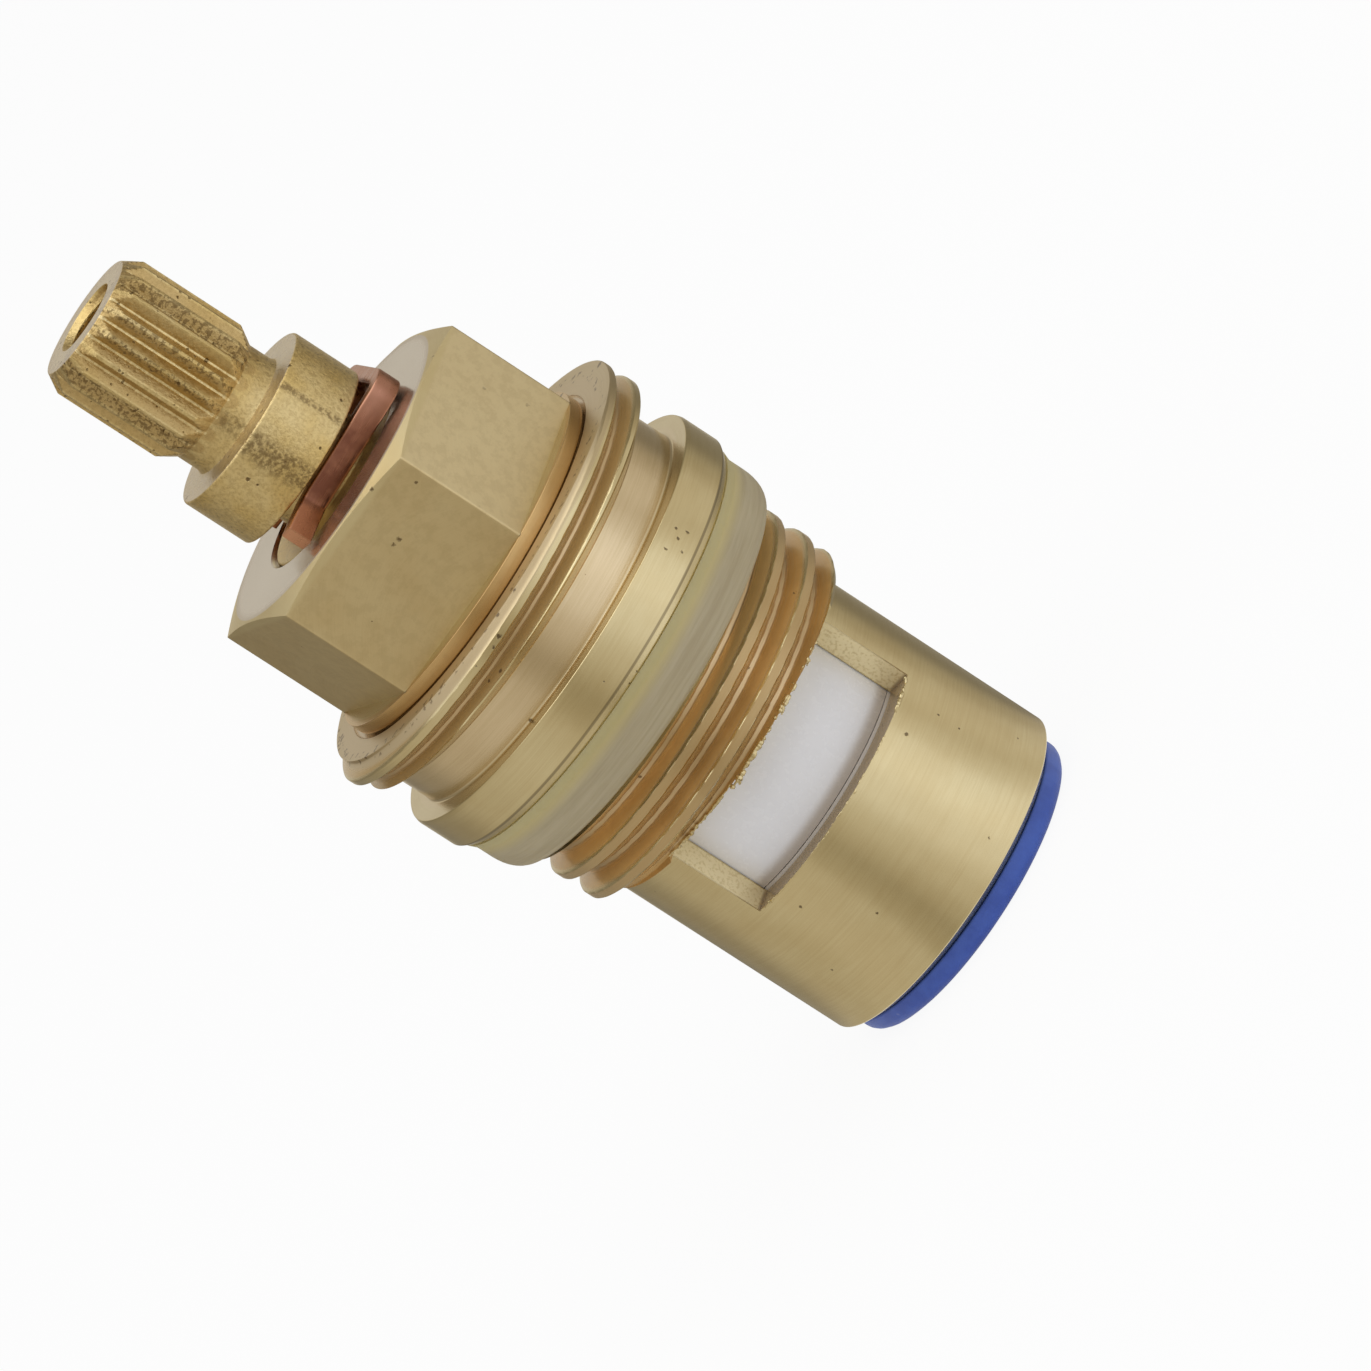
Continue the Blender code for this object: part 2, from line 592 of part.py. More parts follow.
def make_seal(parts, rubber):
    """The blue seal: a plug in the sleeve's foot, with a flange under it and a lip that holds the ring."""
    edge_x = SEAL_FLANGE_RADIUS - SEAL_EDGE_ROUND
    profile = [
        (SEAL_PLUG_RADIUS, SEAL_TOP_Z),
        (SEAL_PLUG_RADIUS, SEAL_FLANGE_HEIGHT),
        (SEAL_FLANGE_RADIUS, SEAL_FLANGE_HEIGHT),
        *arc(edge_x, SEAL_EDGE_ROUND, SEAL_EDGE_ROUND, 0, -90),
        (SEAL_LIP_RADIUS, 0),
        (SEAL_LIP_RADIUS, SEAL_LIP_HEIGHT),
        (SEAL_PLUG_RADIUS - SEAL_WALL, SEAL_LIP_HEIGHT),
        (SEAL_PLUG_RADIUS - SEAL_WALL, SEAL_TOP_Z),
    ]
    return turned("base_seal", profile, parts, rubber)


def make_support_ring(parts, plastic):
    """The stiff ring inside the seal, standing on the seal's lip."""
    low = SEAL_LIP_HEIGHT + SEAT_GAP
    inner = SUPPORT_OUTER_RADIUS - SUPPORT_WALL
    profile = [
        (SUPPORT_OUTER_RADIUS, SEAL_TOP_Z),
        (SUPPORT_OUTER_RADIUS, low),
        (inner, low),
        (inner, SEAL_TOP_Z),
    ]
    return turned("support_ring", profile, parts, plastic, steps=SMALL_STEPS)


def make_thrust_washer(parts, plastic):
    """The slippery washer between the spindle's flange and the body's shoulder."""
    low = FLANGE_TOP_Z + SEAT_GAP
    profile = [
        (THRUST_RADIUS, low + THRUST_THICKNESS),
        (THRUST_RADIUS, low),
        (SPINDLE_BORE_RADIUS, low),
        (SPINDLE_BORE_RADIUS, low + THRUST_THICKNESS),
    ]
    return turned("thrust_washer", profile, parts, plastic, steps=SMALL_STEPS)


def make_body_washer(parts, nylon):
    """The cream ring under the flange, with a small round above and a long round below."""
    top = BODY_FLANGE_LOW_Z - SEAT_GAP
    low = THREAD_TOP_Z
    lower_round = []
    for step in range(EDGE_STEPS + 2):
        angle = math.pi / 2 * step / (EDGE_STEPS + 1)
        x = BODY_WASHER_RADIUS - BODY_WASHER_LOW_WIDTH * (1 - math.cos(angle))
        z = low + BODY_WASHER_LOW_HEIGHT * (1 - math.sin(angle))
        lower_round.append((x, z))
    round_x = BODY_WASHER_RADIUS - BODY_WASHER_TOP_ROUND
    profile = [
        (BODY_WASHER_INNER_RADIUS, top),
        *arc(round_x, top - BODY_WASHER_TOP_ROUND, BODY_WASHER_TOP_ROUND, 90, 0),
        *lower_round,
        (BODY_WASHER_INNER_RADIUS, low),
    ]
    return turned("body_washer", profile, parts, nylon)


def make_o_ring(name, index, parts, rubber):
    """An O-ring midway between the floor of its groove and the body's bore."""
    middle = (O_RING_GROOVE_RADIUS + SPINDLE_BORE_RADIUS) / 2
    section = arc(middle, o_ring_level(index), O_RING_SECTION, 90, -270, O_RING_SIDES)[:-1]
    return turned(name, section, parts, rubber, steps=SMALL_STEPS)


def finish(obj):
    """Fixes the modelled shape as a mesh, smooth on its round faces and sharp at its edges."""
    evaluated = obj.evaluated_get(bpy.context.evaluated_depsgraph_get())
    mesh = bpy.data.meshes.new_from_object(evaluated)
    mesh.name = obj.name
    mesh.shade_smooth()
    mesh.set_sharp_from_angle(angle=SMOOTH_BELOW)
    obj.modifiers.clear()
    obj.data = mesh


def main():
    clear_scene()
    parts = new_collection("tap_cartridge")
    cutters = new_collection("cutters")
    brass = new_material("turned_brass", (0.55, 0.42, 0.20), 0.32, 1.0)
    spindle_brass = new_material("cast_brass", (0.58, 0.43, 0.16), 0.38, 1.0)
    copper = new_material("copper", (0.42, 0.17, 0.09), 0.35, 1.0)
    ceramic = new_material("white_ceramic", (0.80, 0.80, 0.82), 0.18, 0.0)
    blue_rubber = new_material("blue_rubber", (0.04, 0.08, 0.42), 0.55, 0.0)
    black_rubber = new_material("black_rubber", (0.02, 0.02, 0.02), 0.6, 0.0)
    nylon = new_material("cream_nylon", (0.62, 0.57, 0.42), 0.45, 0.0)
    white_plastic = new_material("white_plastic", (0.75, 0.74, 0.70), 0.4, 0.0)

    still = [
        make_body(parts, cutters, brass),
        make_fixed_disc(parts, ceramic),
        make_seal(parts, blue_rubber),
        make_support_ring(parts, white_plastic),
        make_body_washer(parts, nylon),
    ]
    turning = [
        make_spindle(parts, cutters, spindle_brass),
        make_clip(parts, copper),
        make_o_ring("upper_o_ring", 1, parts, black_rubber),
        make_o_ring("lower_o_ring", 0, parts, black_rubber),
        make_thrust_washer(parts, white_plastic),
        make_moving_disc(parts, cutters, ceramic),
    ]
    bpy.context.view_layer.update()
    for obj in still + turning:
        finish(obj)

    axis = add_object("spindle_axis", None, parts)
    for obj in turning:
        obj.parent = axis
    for guide in cutters.objects:
        guide.hide_viewport = True


main()
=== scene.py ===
"""A half-inch quarter-turn tap cartridge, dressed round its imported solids.

Lengths are in metres unless a comment says mm, +Z runs up the spindle, and the cartridge stands on its
blue seal at the origin. A bearing is an angle round +Z in degrees, from +X towards +Y. The pieces follow in
the order in which the cartridge is put together, from the brass body inwards.
"""

import math

import bpy
import numpy as np
from mathutils import Matrix, Vector


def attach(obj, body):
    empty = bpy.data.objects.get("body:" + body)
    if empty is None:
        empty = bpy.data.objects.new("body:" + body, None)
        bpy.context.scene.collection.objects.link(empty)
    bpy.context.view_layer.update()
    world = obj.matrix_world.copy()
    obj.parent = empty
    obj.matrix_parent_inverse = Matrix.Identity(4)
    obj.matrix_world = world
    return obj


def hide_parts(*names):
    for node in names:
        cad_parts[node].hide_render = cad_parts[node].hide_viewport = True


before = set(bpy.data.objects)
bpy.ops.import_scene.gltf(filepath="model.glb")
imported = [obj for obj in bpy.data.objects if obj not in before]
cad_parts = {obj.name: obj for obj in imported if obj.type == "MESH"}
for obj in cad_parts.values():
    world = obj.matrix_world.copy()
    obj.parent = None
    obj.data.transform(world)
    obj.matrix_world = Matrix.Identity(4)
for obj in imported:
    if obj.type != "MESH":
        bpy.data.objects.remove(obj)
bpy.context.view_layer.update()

# --------------------------------------------------------------------------------------------------
# Camera. The photograph was taken from about half a metre with a long lens, from above the splined end, and
# rolled so that the spindle points up and to the left.
photo_pixels = 1371
camera_distance = 0.476
camera_height = 0.1325
camera_azimuth = math.radians(-94)
camera_tilt = math.radians(13.53)
camera_yaw = math.radians(0.105)
camera_roll = math.radians(57)
camera_focal_pixels = 9814
straight_up = Vector((0, 0, 1))


def put_object(name, data):
    """A new object in the scene, at the origin."""
    made = bpy.data.objects.new(name, data)
    bpy.context.scene.collection.objects.link(made)
    return made


outward = Vector((math.cos(camera_azimuth), math.sin(camera_azimuth), 0))
ahead = -outward * math.cos(camera_tilt) - straight_up * math.sin(camera_tilt)
level_right = ahead.cross(straight_up).normalized()
ahead = (ahead + level_right * math.tan(camera_yaw)).normalized()
level_right = ahead.cross(straight_up).normalized()
level_up = level_right.cross(ahead)
camera_right = level_right * math.cos(camera_roll) - level_up * math.sin(camera_roll)
camera_up = level_right * math.sin(camera_roll) + level_up * math.cos(camera_roll)

camera = bpy.data.cameras.new("camera")
camera.sensor_fit = "HORIZONTAL"
camera.sensor_width = 36
camera.lens = camera.sensor_width * camera_focal_pixels / photo_pixels
camera.clip_start = 0.01
camera.clip_end = 20
camera_object = put_object("camera", camera)
turned_axes = Matrix((camera_right, camera_up, -ahead)).transposed().to_4x4()
camera_place = outward * camera_distance + straight_up * camera_height
camera_object.matrix_world = Matrix.Translation(camera_place) @ turned_axes
bpy.context.scene.camera = camera_object
bpy.context.scene.view_settings.view_transform = "Standard"

# --------------------------------------------------------------------------------------------------
# Studio. A pale floor, an even room, one soft lamp overhead, and soft panels round the cartridge whose bands
# of light and the gaps between them are what turned brass shows along its length.
floor_half = 6.0
floor_paint = (0.86, 0.86, 0.86)
floor_glow = 0.92
room_light = 0.62
white = (1.0, 1.0, 1.0)
lamp_watts = 1.45
lamp_size = 0.95
lamp_place = Vector((0.12, -0.16, 0.55))
panel_stops = (
    # bearing round the cartridge, strength
    (-250, 0.44), (-241, 0.25), (-218, 0.33), (-186, 0.54), (-150, 0.64), (-130, 0.61), (-121, 0.47),
    (-112, 0.42), (-104, 0.53), (-94, 0.66), (-76, 0.90), (-58, 1.03), (-46, 0.98), (-36, 0.78), (-26, 0.66),
    (-14, 0.71), (-2, 0.66), (12, 0.47), (30, 0.25), (52, 0.28), (66, 0.58), (86, 0.66), (104, 0.60),
)
white_above, warm_below = 0.95, 0.45
warm_green, warm_blue = 0.10, 0.30
panel_curve = (
    # radius and height of the bowl of panels
    (0.0105, 0.00005), (0.0135, 0.0002), (0.0165, 0.0006), (0.022, 0.002), (0.035, 0.008), (0.07, 0.03),
    (0.12, 0.075), (0.17, 0.15), (0.19, 0.26),
)
panel_sides = 96


class Output:
    """What one node puts out: a number, colour, vector or geometry. Python's own signs do its sums."""

    def __init__(self, socket):
        self.socket = socket

    def __add__(self, other):
        return calc("ADD", self, other)

    def __sub__(self, other):
        return calc("SUBTRACT", self, other)

    def __rsub__(self, other):
        return calc("SUBTRACT", other, self)

    def __mul__(self, other):
        return calc("MULTIPLY", self, other)

    def __truediv__(self, other):
        return calc("DIVIDE", self, other)

    def __abs__(self):
        return calc("ABSOLUTE", self)

    def __gt__(self, other):
        return calc("GREATER_THAN", self, other)

    def __lt__(self, other):
        return calc("LESS_THAN", self, other)


def wire(socket, source):
    """Links an output to a node's input, or writes a plain value there."""
    if isinstance(source, Output):
        socket.id_data.links.new(source.socket, socket)
    elif socket.type == "RGBA":
        socket.default_value = (*source, 1.0)
    else:
        socket.default_value = source


def add_node(tree, kind, inputs=None, **values):
    """A node with its properties set, and its inputs linked or written by their names or numbers."""
    node = tree.nodes.new(kind)
    for name, value in values.items():
        setattr(node, name, value)
    for label, source in (inputs or {}).items():
        wire(node.inputs[label], source)
    return node


def output_of(tree, kind, inputs=None, socket=0, **values):
    """What a new node puts out."""
    return Output(add_node(tree, kind, inputs, **values).outputs[socket])


def tree_of(*sources):
    """The node tree that the first output among these lies in."""
    return next(source.socket.id_data for source in sources if isinstance(source, Output))


def calc(operation, *inputs):
    """The result of one Math node on outputs or numbers."""
    return output_of(tree_of(*inputs), "ShaderNodeMath", dict(enumerate(inputs)), operation=operation)


def highest(*sources):
    """The highest of several outputs."""
    most = sources[0]
    for source in sources[1:]:
        most = calc("MAXIMUM", most, source)
    return most


def ramp(value, low, high, to_low=0.0, to_high=1.0, smooth=True):
    """The value mapped from low..high to to_low..to_high, and held at the ends."""
    inputs = dict(enumerate((value, low, high, to_low, to_high)))
    kind = "SMOOTHSTEP" if smooth else "LINEAR"
    return output_of(tree_of(value), "ShaderNodeMapRange", inputs, interpolation_type=kind)


def mix(factor, first, second, blend="MIX"):
    """Two colours mixed by a factor."""
    inputs = {"Factor": factor, "A": first, "B": second}
    return output_of(tree_of(factor), "ShaderNodeMix", inputs, "Result", data_type="RGBA", blend_type=blend)


def parts_of(vector):
    """The x, y and z of a vector."""
    split = add_node(tree_of(vector), "ShaderNodeSeparateXYZ", {0: vector})
    return [Output(socket) for socket in split.outputs]


def object_position(tree):
    """Each point's place in the object's own axes."""
    return output_of(tree, "ShaderNodeTexCoord", socket="Object")


def seen_directly(tree):
    """1 for a ray from the camera, a mirror or glass, so that all three show the same background."""
    rays = add_node(tree, "ShaderNodeLightPath").outputs
    return highest(*(Output(rays[f"Is {kind} Ray"]) for kind in ("Camera", "Glossy", "Transmission")))


def empty_tree(owner):
    """The node tree of a world or material, switched on and emptied."""
    owner.use_nodes = True
    owner.node_tree.nodes.clear()
    return owner.node_tree


def object_from(name, vertices, faces, material=None):
    """A mesh object at the origin, made from lists of points and faces."""
    mesh = bpy.data.meshes.new(name)
    mesh.from_pydata(vertices, [], faces)
    mesh.update()
    if material:
        mesh.materials.append(material)
    return put_object(name, mesh)


world = bpy.data.worlds.new("room")
bpy.context.scene.world = world
tree = empty_tree(world)
strength = ramp(seen_directly(tree), 0, 1, room_light, 1.0, smooth=False)
room = output_of(tree, "ShaderNodeBackground", {"Color": white, "Strength": strength})
add_node(tree, "ShaderNodeOutputWorld", {"Surface": room})

floor_material = bpy.data.materials.new("pale_floor")
tree = empty_tree(floor_material)
paint = output_of(tree, "ShaderNodeBsdfDiffuse", {"Color": floor_paint})
glow = output_of(tree, "ShaderNodeEmission", {"Color": white})
shown = output_of(tree, "ShaderNodeMixShader", {0: seen_directly(tree) * floor_glow, 1: paint, 2: glow})
add_node(tree, "ShaderNodeOutputMaterial", {"Surface": shown})
corners = [(x * floor_half, y * floor_half, 0) for x, y in ((-1, -1), (1, -1), (1, 1), (-1, 1))]
floor = object_from("floor", corners, [(0, 1, 2, 3)], floor_material)

lamp = bpy.data.lights.new("overhead_softbox", "AREA")
lamp.shape = "DISK"
lamp.size = lamp_size
lamp.energy = lamp_watts
lamp_object = put_object("overhead_softbox", lamp)
lamp_object.location = lamp_place
lamp_object.rotation_euler = (-lamp_place).to_track_quat("-Z", "Y").to_euler()

panel_material = bpy.data.materials.new("soft_panels")
tree = empty_tree(panel_material)
x, y, _ = parts_of(object_position(tree))
first_stop = panel_stops[0][0] / 360
turn_share = calc("FRACT", calc("ARCTAN2", y, x) / math.tau - first_stop)
panel_ramp = add_node(tree, "ShaderNodeValToRGB", {0: turn_share})
panel_ramp.color_ramp.interpolation = "EASE"
stops = panel_ramp.color_ramp.elements
stops.remove(stops[1])
for number, (bearing, amount) in enumerate(panel_stops):
    stop = stops[0] if number == 0 else stops.new(bearing / 360 - first_stop)
    stop.position = bearing / 360 - first_stop
    warmth = min(1.0, max(0.0, (white_above - amount) / (white_above - warm_below)))
    stop.color = (amount, amount * (1 - warm_green * warmth), amount * (1 - warm_blue * warmth), 1)
panel_glow = output_of(tree, "ShaderNodeEmission", {"Color": Output(panel_ramp.outputs[0])})
add_node(tree, "ShaderNodeOutputMaterial", {"Surface": panel_glow})
panel_material.cycles.emission_sampling = "NONE"

points, quads = [], []
for radius, height in panel_curve:
    for side in range(panel_sides):
        angle = math.tau * side / panel_sides
        points.append((radius * math.cos(angle), radius * math.sin(angle), height))
for ring in range(len(panel_curve) - 1):
    for side in range(panel_sides):
        a, b = ring * panel_sides + side, ring * panel_sides + (side + 1) % panel_sides
        quads.append((a, b, b + panel_sides, a + panel_sides))
panels = object_from("soft_panels", points, quads, panel_material)
for kind in ("camera", "diffuse", "shadow", "transmission", "volume_scatter"):
    setattr(panels, f"visible_{kind}", False)

# --------------------------------------------------------------------------------------------------
# Brass body. One hot-pressed brass blank, turned all over, milled to a 17 mm hexagon, threaded G 1/2 below the
# flange and with a fine thread on its upper rim, then cross-milled with two water windows that leave burrs.
# The sizes that follow are in mm and degrees.
mm = 0.001
hex_flats = 17.0
hex_corner_at = -78.4
hex_corner_round = 0.15
hex_half_side = 30
hex_corner_lines = (-0.9, -0.44, -0.22, 0.22, 0.44, 0.9)
hex_face_radius = 8.35
hex_chamfer_drop = 0.46
hex_top = 38.78
hex_low = 31.28
land_radius = 9.80
land_low = 30.56
thread_radius = 10.4775
thread_pitch = 1.814
thread_depth = 1.12
thread_low, thread_high = 15.35, 19.80
thread_starts, thread_ends, thread_crest_at = 14.95, 20.30, 17.25
rim_radius = 12.15
rim_pitch = 1.5
rim_depth = 0.80
rim_low, rim_high = 28.70, 30.53
rim_starts, rim_ends, rim_crest_at = 28.35, 30.93, 30.41
run_out = 0.3
cage_radius, cage_bore = 9.2, 7.7
window_low, window_high = 10.10, 15.56
window_half_angle = 48.8
window_middles = (-90, 90)
window_edge = 0.03
outer_side, bore_side = (8.0, 11.0), (7.0, 7.9)
body_steps = 192
closest_lines = 0.12
outline_spacing = 0.9
thread_spacing, rim_spacing = 0.045, 0.035
thread_outside, rim_outside, sleeve_wall = 10.0, 11.3, (7.6, 10.6)
arc_step = 22
longest_arc_share = 0.45
edge_rest, rest_share = 0.03, 0.04
smooth_angle = 34
groove_rows = (
    # radius and height of the relief groove between the hexagon's land and the rim
    (9.76, 30.53), (9.62, 30.50), (9.46, 30.47), (9.45, 30.44), (9.50, 30.40),
    (9.75, 30.38), (9.95, 30.39), (10.00, 30.42), (10.06, 30.50),
)
body_corners = [
    # radius, height and edge radius, from the rim down the outside and up the bore
    (10.08, rim_high, 0.0),
    (rim_radius - 0.06, rim_high, 0.03),
    (rim_radius, rim_high - 0.06, 0.03),
    (rim_radius, rim_low, 0.04),
    (rim_radius - 0.12, rim_low - 0.10, 0.03),
    (10.75, 28.02, 0.08),
    (10.75, 25.80, 0.14),
    (11.93, 25.80, 0.10),
    (12.0, 25.55, 0.08),
    (12.0, 23.60, 0.04),
    (11.25, 22.60, 0.05),
    (9.25, 22.60, 0.0),
    (9.25, 19.80, 0.0),
    (thread_radius - 0.05, thread_high, 0.04),
    (thread_radius, thread_high - 0.10, 0.04),
    (thread_radius, thread_low + 0.45, 0.05),
    (thread_radius - 0.42, thread_low, 0.05),
    (cage_radius, thread_low, 0.08),
    (cage_radius, 1.75, 0.10),
    (8.40, 1.30, 0.05),
    (cage_bore + 0.26, 1.30, 0.03),
    (cage_bore, 1.56, 0.03),
    (cage_bore, 19.15, 0.0),
    (5.05, 19.15, 0.0),
    (5.05, 38.49, 0.03),
    (5.31, hex_top, 0.0),
]


def within_turn(angle):
    """An angle brought between -180 and 180 degrees."""
    return (angle + 180) % 360 - 180


def rounded_outline(corners, spacing):
    """A closed outline through (radius, height, edge radius) corners, in mm, with its edges rounded.

    Each edge gets an arc with a short straight run at both ends, and long runs are split at the spacing.
    """
    count = len(corners)
    outline = []
    arcs = []
    for i, (x, z, edge) in enumerate(corners):
        here = np.array((x, z))
        before = np.array(corners[i - 1][:2]) - here
        after = np.array(corners[(i + 1) % count][:2]) - here
        long_before, long_after = np.linalg.norm(before), np.linalg.norm(after)
        before, after = before / long_before, after / long_after
        turn = math.pi - math.acos(max(-1.0, min(1.0, float(before @ after))))
        run = min(edge * math.tan(turn / 2), longest_arc_share * long_before, longest_arc_share * long_after)
        if run < 1e-4:
            arcs.append([here])
            continue
        start, end = here + before * run, here + after * run
        steps = max(2, math.ceil(math.degrees(turn) / arc_step))
        bisector = (before + after) / np.linalg.norm(before + after)
        radius = run / math.tan(turn / 2)
        centre = here + bisector * radius / math.cos(turn / 2)
        points = []
        for step in range(steps + 1):
            share = step / steps
            spoke = (start - centre) * (1 - share) + (end - centre) * share
            points.append(centre + spoke / np.linalg.norm(spoke) * radius)
        rest = min(edge_rest, rest_share * long_before, rest_share * long_after)
        arcs.append([start + before * rest, *points, end + after * rest])
    for i in range(count):
        outline.extend(arcs[i])
        start, end = arcs[i][-1], arcs[(i + 1) % count][0]
        steps = math.ceil(np.linalg.norm(end - start) / spacing)
        outline.extend(start + (end - start) * step / steps for step in range(1, steps))
    return np.array(outline)


def sharpen(made, degrees):
    """Shades a mesh smooth but for the edges that turn more than this."""
    made.data.shade_smooth()
    made.data.set_sharp_from_angle(angle=math.radians(degrees))
    return made


def ring_mesh(name, radii, heights, angles, skip=None, extra_faces=(), material=None):
    """A closed mesh from rows of radii and heights in mm, one value for each angle in degrees.

    The last row joins the first. A face is left out where skip(row, column) is true.
    """
    rows, columns = radii.shape
    turn = np.radians(angles)
    places = np.stack((radii * np.cos(turn), radii * np.sin(turn), heights), axis=-1).reshape(-1, 3) * mm
    faces = []
    for row in range(rows):
        below = (row + 1) % rows
        for column in range(columns):
            beside = (column + 1) % columns
            if skip is None or not skip(row, column):
                faces.append((row * columns + column, below * columns + column,
                              below * columns + beside, row * columns + beside))
    faces.extend(extra_faces)
    return sharpen(object_from(name, places.tolist(), faces, material), smooth_angle)


def hexagon_reach(angles):
    """How far the hexagon reaches from the axis at each angle, with its corners a little rounded."""
    flat = hex_flats / 2
    lean = math.cos(math.radians(hex_half_side))
    from_corner = np.abs((angles - hex_corner_at + hex_half_side) % (2 * hex_half_side) - hex_half_side)
    reach = flat / np.cos(np.radians(hex_half_side - from_corner))
    centre = (flat - hex_corner_round) / lean
    across = centre * np.sin(np.radians(from_corner))
    inside = np.clip(hex_corner_round**2 - across**2, 0, None)
    rounded = centre * np.cos(np.radians(from_corner)) + np.sqrt(inside)
    meets = math.degrees(math.atan2(hex_corner_round / 2, centre + hex_corner_round * lean))
    return np.where(from_corner < meets, rounded, reach)


def body_angles():
    """The angles of the body's mesh lines: even steps, with lines on the hexagon's and windows' edges."""
    even = [hex_corner_at + 360 * step / body_steps for step in range(body_steps)]
    corners = [hex_corner_at + 2 * hex_half_side * corner for corner in range(6)]
    extra = [corner + line for corner in corners for line in hex_corner_lines]
    edges = [middle + side * window_half_angle for middle in window_middles for side in (-1, 1)]
    kept = []
    for angle in sorted(set(round(within_turn(angle), 4) for angle in even + extra + edges)):
        if not kept or angle - kept[-1] >= closest_lines:
            kept.append(angle)
    for edge in edges:
        nearest = min(range(len(kept)), key=lambda i: abs(within_turn(kept[i] - edge)))
        kept[nearest] = within_turn(edge)
    return np.array(sorted(kept))


def refine(points, low, high, radius_above, spacing):
    """Splits the outline's outer runs between two heights, for threads or window edges."""
    finer = [points[0]]
    for before, after in zip(points[:-1], points[1:]):
        inside = min(before[1], after[1]) < high and max(before[1], after[1]) > low
        length = np.linalg.norm(after - before)
        if inside and max(before[0], after[0]) > radius_above and length > spacing:
            steps = math.ceil(length / spacing)
            finer.extend(before + (after - before) * step / steps for step in range(1, steps))
        finer.append(after)
    return np.array(finer)


def with_levels(points, radii, levels):
    """Adds outline points exactly at these heights, where the outline crosses them between two radii."""
    finer = [points[0]]
    for before, after in zip(points[:-1], points[1:]):
        cuts = []
        for level in levels:
            if (before[1] - level) * (after[1] - level) < -1e-9:
                share = (level - before[1]) / (after[1] - before[1])
                radius = before[0] + share * (after[0] - before[0])
                if radii[0] <= radius <= radii[1]:
                    cuts.append((share, (radius, level)))
        finer.extend(np.array(cut) for _, cut in sorted(cuts))
        finer.append(after)
    return np.array(finer)


def nearest_point(points, corner):
    """The number of the outline's point nearest to a corner."""
    return int(np.argmin(np.hypot(points[:, 0] - corner[0], points[:, 1] - corner[1])))


angles = body_angles()
reach = hexagon_reach(angles)
rows_r, rows_z = [], []


def add_row(radius, height):
    """One more row of the body's mesh, from single values or one value for each angle."""
    rows_r.append(np.broadcast_to(np.asarray(radius, float), angles.shape).copy())
    rows_z.append(np.broadcast_to(np.asarray(height, float), angles.shape).copy())


def cone_height(radius):
    """The height of the hexagon's turned chamfer at a radius."""
    corner_radius = hex_flats / 2 / math.cos(math.radians(hex_half_side))
    return hex_top - hex_chamfer_drop / (corner_radius - hex_face_radius) * (radius - hex_face_radius)


# the hexagon's end face, its chamfer and broken edge, its flats, the land at its foot and the relief groove
for radius in (5.33, 5.36, 5.8, 6.5, 7.2, 7.9, 8.32):
    add_row(radius, hex_top)
for share in (0.0, 0.04, 0.3, 0.6, 0.9):
    radius = hex_face_radius + share * (reach - 0.07 - hex_face_radius)
    add_row(radius, cone_height(radius))
add_row(reach - 0.05, cone_height(reach - 0.05))
add_row(reach - 0.012, cone_height(reach) + 0.004)
add_row(reach, cone_height(reach) - 0.045)
flat_start = cone_height(reach) - 0.075
for share in (0.0, 0.03, 0.2, 0.4, 0.6, 0.8, 0.97, 1.0):
    add_row(reach, flat_start + share * (hex_low - flat_start))
outwards = np.where(reach < land_radius, 1.0, -1.0)
for step in (0.006, 0.03):
    add_row(reach + step * outwards, hex_low)
for share in (0.35, 0.7, 0.96):
    add_row(reach + (land_radius - 0.02 - reach) * share, hex_low)
add_row(land_radius - 0.015, hex_low - 0.004)
for height in (hex_low - 0.02, hex_low - 0.05, 31.06, 30.87, land_low + 0.03, land_low):
    add_row(land_radius, height)
for radius, height in groove_rows:
    add_row(radius, height)

outline = rounded_outline(body_corners, outline_spacing)
outline = refine(outline, thread_low, thread_high, thread_outside, thread_spacing)
outline = refine(outline, rim_low, rim_high, rim_outside, rim_spacing)
window_levels = (window_low, window_low + window_edge, window_high - window_edge, window_high)
outline = with_levels(outline, sleeve_wall, window_levels)
outline = np.roll(outline, -nearest_point(outline, body_corners[0]), axis=0)
for radius, height in outline[:nearest_point(outline, body_corners[-1]) + 1]:
    add_row(radius, height)
body_r, body_z = np.array(rows_r), np.array(rows_z)
column_count = body_r.shape[1]


def row_at(level, side):
    """The mesh row at a window level, between two radii: on the outside or on the bore."""
    hits = np.abs(body_z[:, 0] - level) < 1e-6
    hits &= (body_r[:, 0] > side[0]) & (body_r[:, 0] < side[1])
    return int(np.argmax(hits))


outer_top, outer_low = row_at(window_high, outer_side), row_at(window_low, outer_side)
inner_low, inner_top = row_at(window_low, bore_side), row_at(window_high, bore_side)
window_spans = [[int(np.argmin(np.abs(within_turn(angles - (middle + side * window_half_angle)))))
                 for side in (-1, 1)] for middle in window_middles]
window_columns = [[(first + step) % column_count for step in range((last - first) % column_count)]
                  for first, last in window_spans]
open_columns = set(window_columns[0] + window_columns[1])


def in_window(row, column):
    """True for a face that the water windows take away."""
    return column in open_columns and (outer_top <= row < outer_low or inner_low <= row < inner_top)


